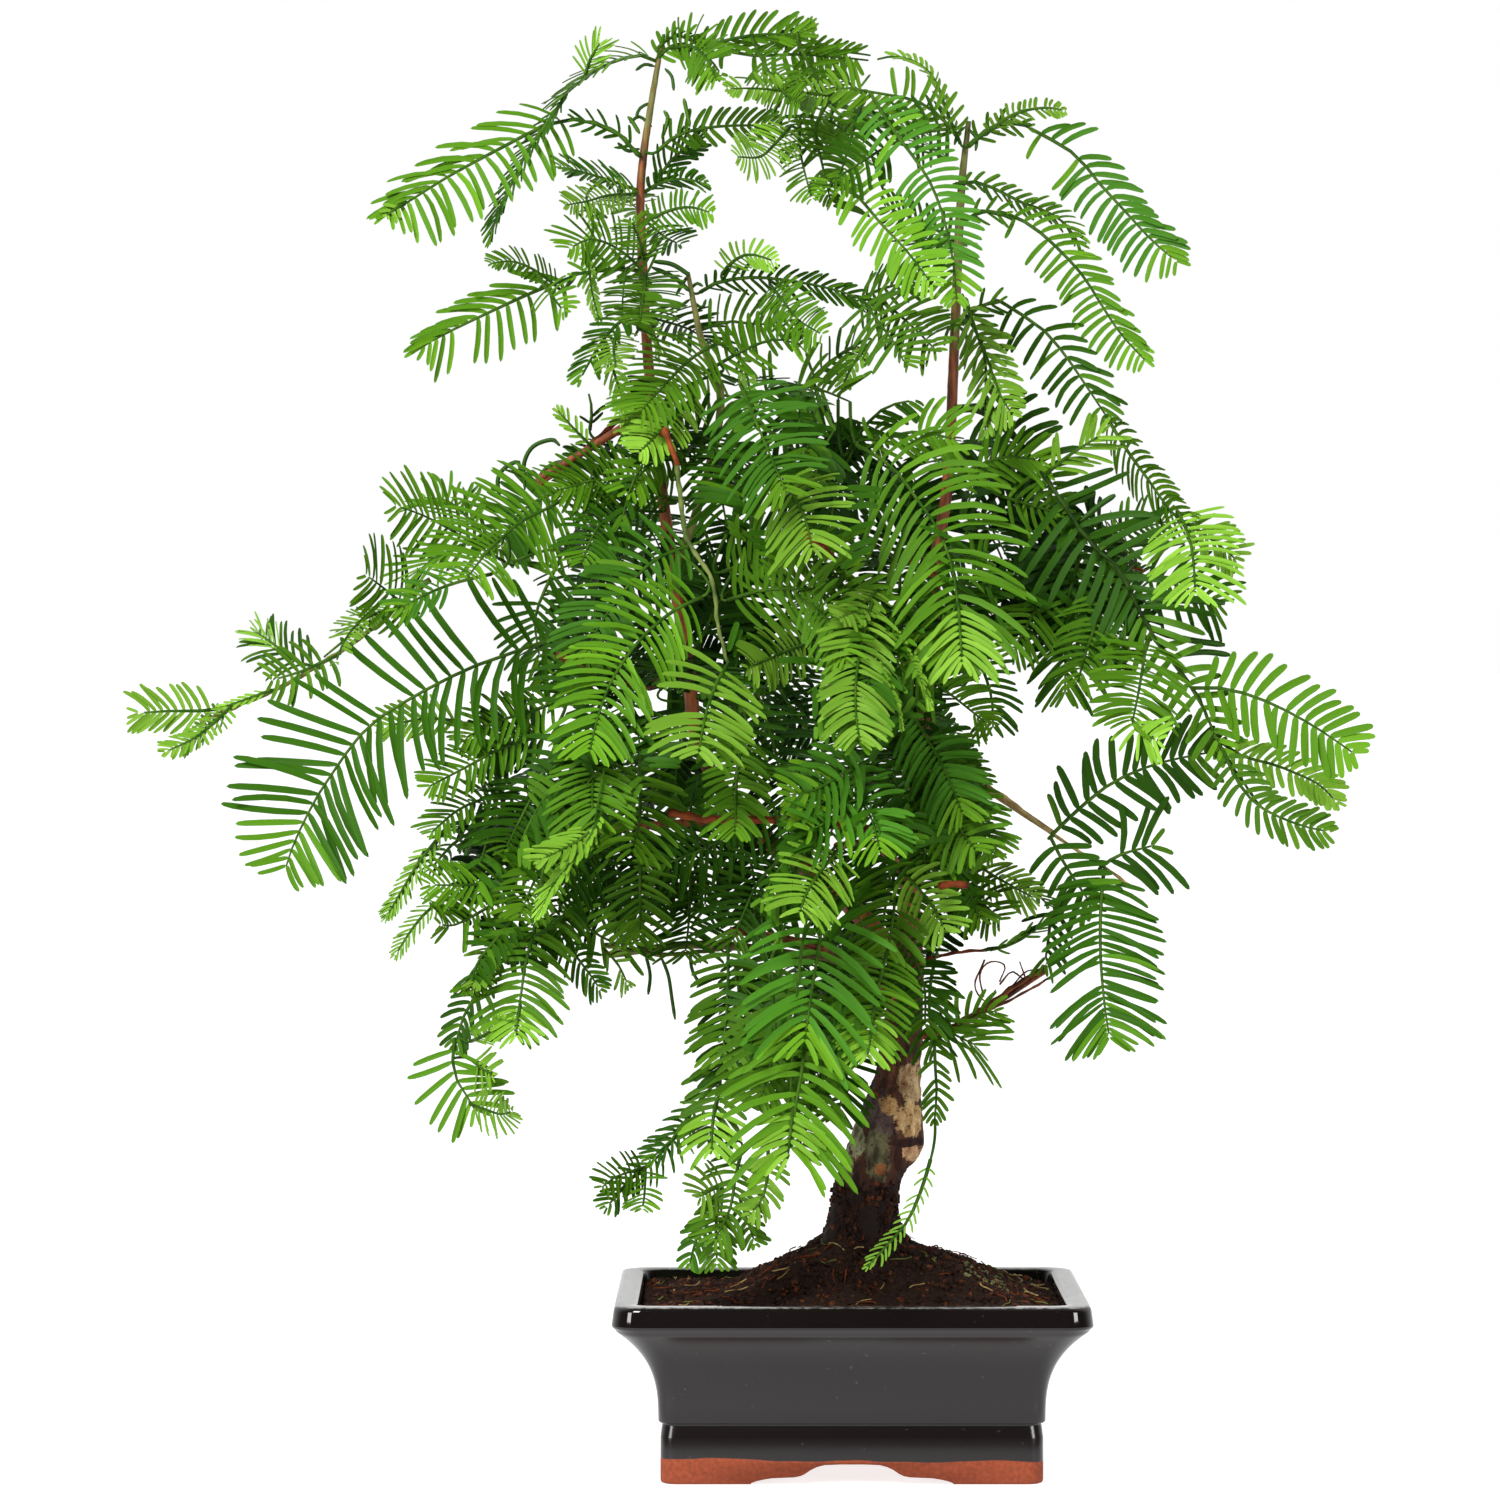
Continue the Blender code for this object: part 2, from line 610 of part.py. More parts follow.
def blade(spray, places, obstacles):
    """Points and triangles of a toothed blade whose teeth keep clear of everything."""
    points = station_corners(spray, places[0], STRIP_HALF * ROOT_SHARE, BLADE_HALF * ROOT_SHARE)
    for place in places[1:-1]:
        points += station_corners(spray, place, STRIP_HALF, BLADE_HALF)
    last = len(places) - 2
    faces = [(3, 2, 1, 0)]
    for index in range(last):
        low, high = places[index:index + 2]
        a, b = 4 * index, 4 * index + 4
        faces += [(a, a + 1, b + 1, b), (a + 2, a + 3, b + 3, b + 2)]
        share = (low + high - 2 * spray.start) / (2 - 2 * spray.start)
        for hand, first, second in ((1, 1, 2), (-1, 3, 0)):
            wall = (a + first, a + second, b + second, b + first)
            reach = needle_reach(spray, share)
            free = [length for length in (reach, reach * 0.6)
                    if tooth_is_free(spray, low, high, hand, length, obstacles)]
            if not free:
                faces.append(wall)
                continue
            apex = len(points)
            points.append(tooth_tip(spray, low, high, hand, free[0]))
            faces += [(wall[n], wall[(n + 1) % 4], apex) for n in range(4)]
    end = 4 * last
    apex = len(points)
    points.append(spray.point(places[-1]))
    faces += [(end + n, end + (n + 1) % 4, apex) for n in range(4)]
    return points, triangulated(faces)


def triangulated(faces):
    """Fans of triangles, because the strip of a bent blade is not flat."""
    triangles = []
    for face in faces:
        triangles += [(face[0], face[n], face[n + 1]) for n in range(1, len(face) - 1)]
    return triangles


def blades_of(sprays, obstacles):
    """Blades of one mass: midribs first, then teeth clear of the other midribs and teeth."""
    main = sprays[0]
    midrib = blade_places(main, obstacles)
    placed = [(main, midrib)] if midrib else []
    for spray in sprays[1:]:
        places = blade_places(spray, obstacles)
        if places and spray.place < (midrib[-2] if midrib else main.start):
            placed.append((spray, places))
    ribs = [strip_tree(spray, places) for spray, places in placed]
    blades = []
    done = []
    for index, (spray, places) in enumerate(placed):
        kin = ribs[:index] + ribs[index + 1:] + done
        made = blade(spray, places, obstacles + kin)
        blades.append(made)
        done.append(BVHTree.FromPolygons(*made))
    return blades


def largest_piece(mesh):
    """Keep only the largest connected piece of a mesh, by its volume."""
    neighbours = [[] for _ in mesh.vertices]
    for edge in mesh.edges:
        a, b = edge.vertices
        neighbours[a].append(b)
        neighbours[b].append(a)
    label = [-1] * len(mesh.vertices)
    pieces = 0
    for seed in range(len(label)):
        if label[seed] >= 0:
            continue
        queue = [seed]
        label[seed] = pieces
        while queue:
            here = queue.pop()
            for there in neighbours[here]:
                if label[there] < 0:
                    label[there] = pieces
                    queue.append(there)
        pieces += 1
    if pieces == 1:
        return mesh
    volumes = [0.0] * pieces
    for face in mesh.polygons:
        corners = [mesh.vertices[index].co for index in face.vertices]
        for n in range(1, len(corners) - 1):
            volume = corners[0].dot(corners[n].cross(corners[n + 1]))
            volumes[label[face.vertices[0]]] += volume
    best = volumes.index(max(volumes))
    kept = [index for index, piece in enumerate(label) if piece == best]
    place = {old: new for new, old in enumerate(kept)}
    faces = [[place[index] for index in face.vertices] for face in mesh.polygons
             if label[face.vertices[0]] == best]
    whole = bpy.data.meshes.new(mesh.name)
    whole.from_pydata([mesh.vertices[index].co for index in kept], [], faces)
    whole.materials.append(mesh.materials[0])
    return whole


def stem_of(main, tree):
    """Stations of a mass's stem, clear of the limb that carries it."""
    stations = [(main.point(step / 100), STEM_RADIUS) for step in range(41)]
    start = start_clear(stations, STEM_SIDES, tree)[0][0]
    places = [step / 400 for step in range(400)]
    first = min(places, key=lambda t: (main.point(t) - start).length)
    main.start = first + max(0.05, 5 / main.length())
    ends = [first, (first + main.start) / 2, main.start + 2.5 / main.length()]
    return [(main.point(t), STEM_RADIUS - 0.4 * t) for t in ends]


def join_mass(name, stem, blades, finish):
    """One Boolean union of a stem with its blades."""
    thing = new_object(name, *loft(rings_along(stem, STEM_SIDES)), finish)
    group = bpy.data.collections.new(name + "_blades")
    bpy.context.scene.collection.children.link(group)
    for index, (points, faces) in enumerate(blades):
        piece = new_object(f"{name}_{index}", points, faces, finish)
        bpy.context.scene.collection.objects.unlink(piece)
        group.objects.link(piece)
    union = thing.modifiers.new("union", "BOOLEAN")
    union.operation = "UNION"
    union.operand_type = "COLLECTION"
    union.collection = group
    union.solver = "EXACT"
    apply_modifiers(thing)
    for piece in list(group.objects):
        bpy.data.objects.remove(piece, do_unlink=True)
    bpy.data.collections.remove(group)
    thing.data = largest_piece(thing.data)
    return thing


def make_masses(lines, trees, fixed):
    """Grow every mass in its own space, clear of limbs, stems and earlier masses."""
    finish = material("needles", LEAF, 0.6)
    shoots = {}
    stems = {}
    stem_trees = {}
    for name, row in MASSES.items():
        carrier = row[0]
        root = line_point(lines[carrier], row[1]) if row[1] else lines[carrier][-1][0]
        main = shoot_spray(row, root)
        shoots[name] = main
        stems[name] = stem_of(main, trees[carrier])
        stem_trees[name] = BVHTree.FromPolygons(*loft(rings_along(stems[name], STEM_SIDES)))
    limbs = list(trees.values()) + fixed
    grown = []
    for number, (name, row) in enumerate(MASSES.items()):
        dice = random.Random(100 + number)
        others = [tree for other, tree in stem_trees.items() if other != name]
        obstacles = limbs + others + grown
        blades = blades_of(sprays_of(row, shoots[name], dice), obstacles)
        grown.append(tree_of(join_mass(name, stems[name], blades, finish)))


def set_origin():
    """Put the origin on the floor under the middle of the whole plant."""
    corners = [vertex.co for thing in bpy.data.objects for vertex in thing.data.vertices]
    middle_x = (min(c.x for c in corners) + max(c.x for c in corners)) / 2
    middle_y = (min(c.y for c in corners) + max(c.y for c in corners)) / 2
    plant = bpy.data.objects.new("plant", None)
    for thing in list(bpy.data.objects):
        if thing is not plant:
            thing.parent = plant
    bpy.context.scene.collection.objects.link(plant)
    plant.location = (-middle_x, -middle_y, 0)


def main():
    clear_scene()
    pot = make_pot()
    soil = make_soil()
    lines, trees = make_limbs()
    make_masses(lines, trees, [tree_of(pot), tree_of(soil)])
    set_origin()


main()
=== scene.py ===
"""The look of a dawn redwood grown as a bonsai in a glazed pot.

The foliage grows on from the solids' limbs: every spray is a bent twig with two rows
of needles. SPRAYS holds the sprays that face the viewer, and the rest are grown by the
same seeded rule as the solids. Lengths are in millimetres around the pot's middle.
"""

import math
import random

import bpy
import numpy as np
from mathutils import Matrix, Vector, noise


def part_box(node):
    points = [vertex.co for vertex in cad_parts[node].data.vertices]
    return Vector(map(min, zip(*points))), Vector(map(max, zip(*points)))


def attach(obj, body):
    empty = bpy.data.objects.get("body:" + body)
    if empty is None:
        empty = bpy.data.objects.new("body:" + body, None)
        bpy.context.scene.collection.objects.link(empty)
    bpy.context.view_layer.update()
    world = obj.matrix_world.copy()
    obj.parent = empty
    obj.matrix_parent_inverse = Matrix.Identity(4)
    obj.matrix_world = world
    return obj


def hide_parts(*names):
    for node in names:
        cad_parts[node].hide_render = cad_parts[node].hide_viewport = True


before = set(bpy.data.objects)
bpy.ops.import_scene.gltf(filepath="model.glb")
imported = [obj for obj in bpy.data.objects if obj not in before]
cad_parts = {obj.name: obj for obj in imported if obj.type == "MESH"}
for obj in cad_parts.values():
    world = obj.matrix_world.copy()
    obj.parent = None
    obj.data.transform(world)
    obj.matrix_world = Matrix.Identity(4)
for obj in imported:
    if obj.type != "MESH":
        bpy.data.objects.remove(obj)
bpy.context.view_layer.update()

MM = 0.001
GAP = 0.3
UP = Vector((0, 0, 1))
POT_LOW, POT_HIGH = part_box("pot")
MIDDLE = np.array(((POT_LOW.x + POT_HIGH.x) / 2, (POT_LOW.y + POT_HIGH.y) / 2, 0))

# View: where the camera stands, its lens and its tilt, what a pixel of the photograph
# spans at the pot's middle, and the pixel that shows what lies level with the lens
EYE = (-31.76, -1719, 265.8)
LENS = 129.9
TILT = 88.73
PIXEL = 0.3176
LEVEL = (750, 630)

# Pot
POT_WIDTH = 149.4
POT_DEPTH = 112.0
POT_HEIGHT = 56.8
RIM_BAND = 7.1
RIM_WALL = 8.5
WAIST_INSET = 14.3
BAND_INSET = 15.0
BAND_TOP = 19.0
FOOT_HEIGHT = 7.5
FOOT_WALL = 8.0
WALL = 6.5
FLARE_POWER = 2.9
RECESS_TOP = 5.5
CORNER_POINTS = 9
ARCH_FRONT = 32.0
ARCH_SIDE = 24.0

# Soil
SOIL_EDGE = 53.0
MOUND_TOP = 68.0
MOUND_SEAT = 19.0

PAIR_FIRST = 0.26
PAIR_SPAN = 0.5

# Limbs: centre line points with their radius, from the foot to the tip
TRUNK = (
    (4.0, 0, 68.3, 13.0),
    (4.2, 0, 74, 11.4),
    (4.8, 0, 86, 10.2),
    (7.5, 0, 95, 9.9),
    (11.0, 0, 104, 10.1),
    (13.2, 0, 112, 9.6),
    (15.3, 0, 125, 7.2),
    (17.6, 1, 147, 5.7),
    (18.6, 2, 170, 4.6),
)
LEADERS = {
    "right_leader": (
        (18.7, 2, 170.4, 3.7),
        (21, 2, 205, 3.0),
        (25, -1, 245, 2.5),
        (27, 0, 285, 2.1),
        (31, 0, 313, 1.8),
        (33, 0, 355, 1.6),
        (35, 0, 402, 1.3),
        (37.5, 0, 427, 0.8),
    ),
    "left_leader": (
        (17, 2, 160, 3.3),
        (-4, 10, 182, 3.0),
        (-30, 13, 202, 2.7),
        (-47, 11, 226, 2.4),
        (-52, 6, 258, 2.1),
        (-57, 3, 290, 1.9),
        (-63, 0, 338, 1.7),
        (-66, 0, 386, 1.5),
        (-66, 0, 412, 1.3),
        (-60, 0, 451, 0.8),
    ),
    "middle_leader": (
        (-56, 3, 283, 1.5),
        (-46, -4, 312, 1.4),
        (-41, -5, 339, 1.3),
        (-47, -4, 357, 1.1),
        (-51.5, -3, 379, 0.7),
    ),
}

# Boughs: the limb that carries each, the height it leaves at, then its points and radii
BOUGHS = {
    "left_bough": ("left_leader", 338, 1.5, ((-72, -4, 330, 1.35), (-99, -10, 313, 1.1))),
    "left_mid_bough": ("left_leader", 258, 1.6, ((-66, -10, 248, 1.4), (-92, -28, 258, 1.1))),
    "low_left_bough": ("right_leader", 200, 1.7, ((-24, -9, 206, 1.5), (-80, -15, 203, 1.1))),
    "bottom_left_bough": ("trunk", 156, 1.6, ((-41, -6, 166, 1.4), (-78, -10, 163, 1.1))),
    "right_bough": ("right_leader", 336, 1.4, ((42, -2, 335, 1.25), (54, -5, 325, 1.1))),
    "right_low_bough": ("right_leader", 228, 1.4, ((44, -8, 215, 1.2), (63.5, -14, 202, 0.9))),
    "front_bough": ("right_leader", 186, 1.6, ((8, -20, 198, 1.4), (-5, -42, 199, 1.1))),
    "front_left_bough": ("trunk", 146, 1.6, ((-8, -18, 165, 1.4), (-38, -27, 172, 1.1))),
    "dead_twig": ("trunk", 137, 1.3, ((32, -5, 139, 1.1), (62, -8, 158, 0.8))),
}

# Masses of foliage, one shoot each. The limb and the height that the shoot leaves at (a
# bough is left at its tip), the shoot's tip, how far its bend stands above its root and
# how far out, its roll, the pairs of side sprays with their length, and needle length.
# A last entry names extra sprays as (place along the shoot, tip).
MASSES = {
    "left_top_west": ("left_leader", 447, (-114, 14, 389), 2, 0.7, 0, 1, 42, 13),
    "left_top_east": ("left_leader", 442, (6, 15, 449), 14, 0.5, 20, 1, 42, 15),
    "left_top_back": ("left_leader", 438, (-72, 66, 425), 14, 0.5, 0, 1, 42, 14),
    "left_over_right": ("left_leader", 430, (30, -48, 366), 26, 0.8, 25, 1, 42, 14,
                        (0.1, (-42, -52, 428))),
    "left_upper_west": ("left_leader", 418, (-152, -25, 393), 25, 0.4, 35, 2, 36, 19,
                        (0.12, (-92, -50, 392))),
    "left_mid_west": ("left_leader", 380, (-141, -15, 360), 4, 0.5, 12, 2, 36, 16,
                      (0.06, (-72, -42, 350))),
    "left_high_back": ("left_leader", 398, (-110, 62, 366), 20, 0.5, 0, 1, 45, 16),
    "between_high": ("left_leader", 410, (0, 32, 408), 14, 0.5, 40, 2, 42, 15,
                     (0.12, (-40, -20, 391))),
    "between_low": ("middle_leader", 372, (-2, -24, 352), 10, 0.5, 15, 2, 38, 14),
    "right_top_west": ("right_leader", 421, (5, -8, 445), 27, 0.25, 15, 0, 0, 14),
    "right_top_back": ("right_leader", 412, (-6, 56, 438), 20, 0.5, 0, 1, 40, 15),
    "right_top_east": ("right_leader", 417, (106, -20, 381), 25, 0.5, 20, 0, 0, 19,
                       (0.16, (68, -28, 429))),
    "right_upper_front": ("right_leader", 405, (71, -58, 381), 6, 0.5, 0, 1, 34, 14),
    "right_upper_east": ("right_leader", 392, (99, 10, 349), 8, 0.5, 18, 1, 26, 16),
    "right_high_back": ("right_leader", 384, (58, 78, 366), 18, 0.5, 0, 1, 45, 16),
    "right_mid_east": ("right_leader", 364, (123, -15, 284), 10, 0.35, 30, 2, 38, 17,
                       (0.1, (47, -42, 331))),
    "right_long": ("right_bough", None, (152, -30, 202), -50, 0.45, 55, 0, 0, 17,
                   (0.2, (72, -2, 246)), (0.5, (84, -38, 238)), (0.62, (163, -18, 224)),
                   (0.8, (156, -44, 214)), (0.35, (118, 28, 262))),
    "right_mid_back": ("right_leader", 326, (84, 84, 284), 16, 0.5, 0, 2, 45, 17),
    "left_far": ("left_bough", None, (-223, -20, 242), -66, 0.5, 40, 0, 0, 15,
                 (0.18, (-124, -48, 258)), (0.42, (-190, -2, 272)), (0.6, (-196, -46, 226)),
                 (0.72, (-218, 4, 252)), (0.3, (-150, 22, 250))),
    "left_dome_front": ("left_leader", 346, (-119, -66, 284), 12, 0.6, 0, 2, 44, 18),
    "left_dome_west": ("left_leader", 320, (-150, 20, 300), 24, 0.5, 25, 2, 44, 18),
    "left_mid_back": ("left_leader", 296, (-122, 88, 262), 20, 0.5, 0, 2, 48, 18),
    "left_broad": ("left_mid_bough", None, (-177, -50, 195), 4, 0.6, 70, 0, 0, 28,
                   (0.12, (-100, -62, 216))),
    "low_left": ("low_left_bough", None, (-146, -30, 176), 20, 0.5, 30, 2, 40, 16,
                 (0.25, (-116, -60, 168)), (0.4, (-136, 0, 214))),
    "left_low_back": ("left_leader", 222, (-108, 92, 184), 20, 0.5, 0, 2, 48, 17),
    "bottom_left": ("bottom_left_bough", None, (-116, -25, 109), 4, 0.9, 75, 0, 0, 17,
                    (0.15, (-104, -46, 138)), (0.3, (-134, -2, 150))),
    "centre_drooping": ("left_leader", 328, (-42, -86, 226), 10, 0.7, 0, 2, 46, 16,
                        (0.2, (-18, -52, 292))),
    "centre_bright": ("right_leader", 286, (1, -92, 232), 16, 0.6, 0, 2, 40, 15),
    "centre_broad": ("middle_leader", 342, (33, -75, 258), 16, 0.65, 0, 2, 46, 21),
    "centre_back": ("right_leader", 262, (8, 116, 236), 24, 0.5, 0, 2, 50, 18),
    "right_inner": ("right_leader", 274, (52, -26, 232), 6, 0.6, 0, 1, 34, 14),
    "right_hanging": ("right_leader", 300, (70, 4, 246), 14, 0.7, 55, 1, 34, 16),
    "right_low": ("right_low_bough", None, (111, -20, 226), 4, 0.5, 70, 0, 0, 15,
                  (0.03, (80, -26, 136)), (0.3, (92, -40, 186))),
    "right_twig": ("trunk", 158, (66, -12, 179), 4, 0.7, 60, 0, 0, 9),
    "right_front": ("right_leader", 244, (46, -54, 190), 14, 0.6, 0, 2, 38, 16),
    "right_low_front": ("right_leader", 208, (44, -40, 172), 10, 0.6, 0, 1, 34, 17),
    "right_low_back": ("right_leader", 232, (50, 86, 200), 20, 0.5, 0, 2, 45, 17),
    "low_tuft": ("trunk", 126, (68, -26, 119), 14, 0.6, 0, 1, 28, 14),
    "thin_hanging": ("trunk", 128, (5, -62, 71), 6, 0.6, 0, 0, 0, 7),
    "front_hanging": ("front_bough", None, (-20, -86, 108), -8, 0.9, 0, 1, 66, 22),
    "front_left_hanging": ("front_left_bough", None, (-43, -54, 70), -10, 0.7, 0, 1, 52, 18,
                           (0.3, (-79, -26, 87))),
    "front_low": ("trunk", 150, (6, -60, 134), 22, 0.6, 0, 2, 34, 15),
    "front_bright": ("right_leader", 222, (-14, -104, 184), 18, 0.6, 0, 2, 38, 14),
    "front_left": ("left_leader", 250, (-79, -82, 206), 18, 0.7, 0, 2, 46, 19,
                   (0.35, (-98, -78, 176))),
    "low_back": ("trunk", 152, (14, 96, 130), 26, 0.5, 0, 2, 45, 17),
}

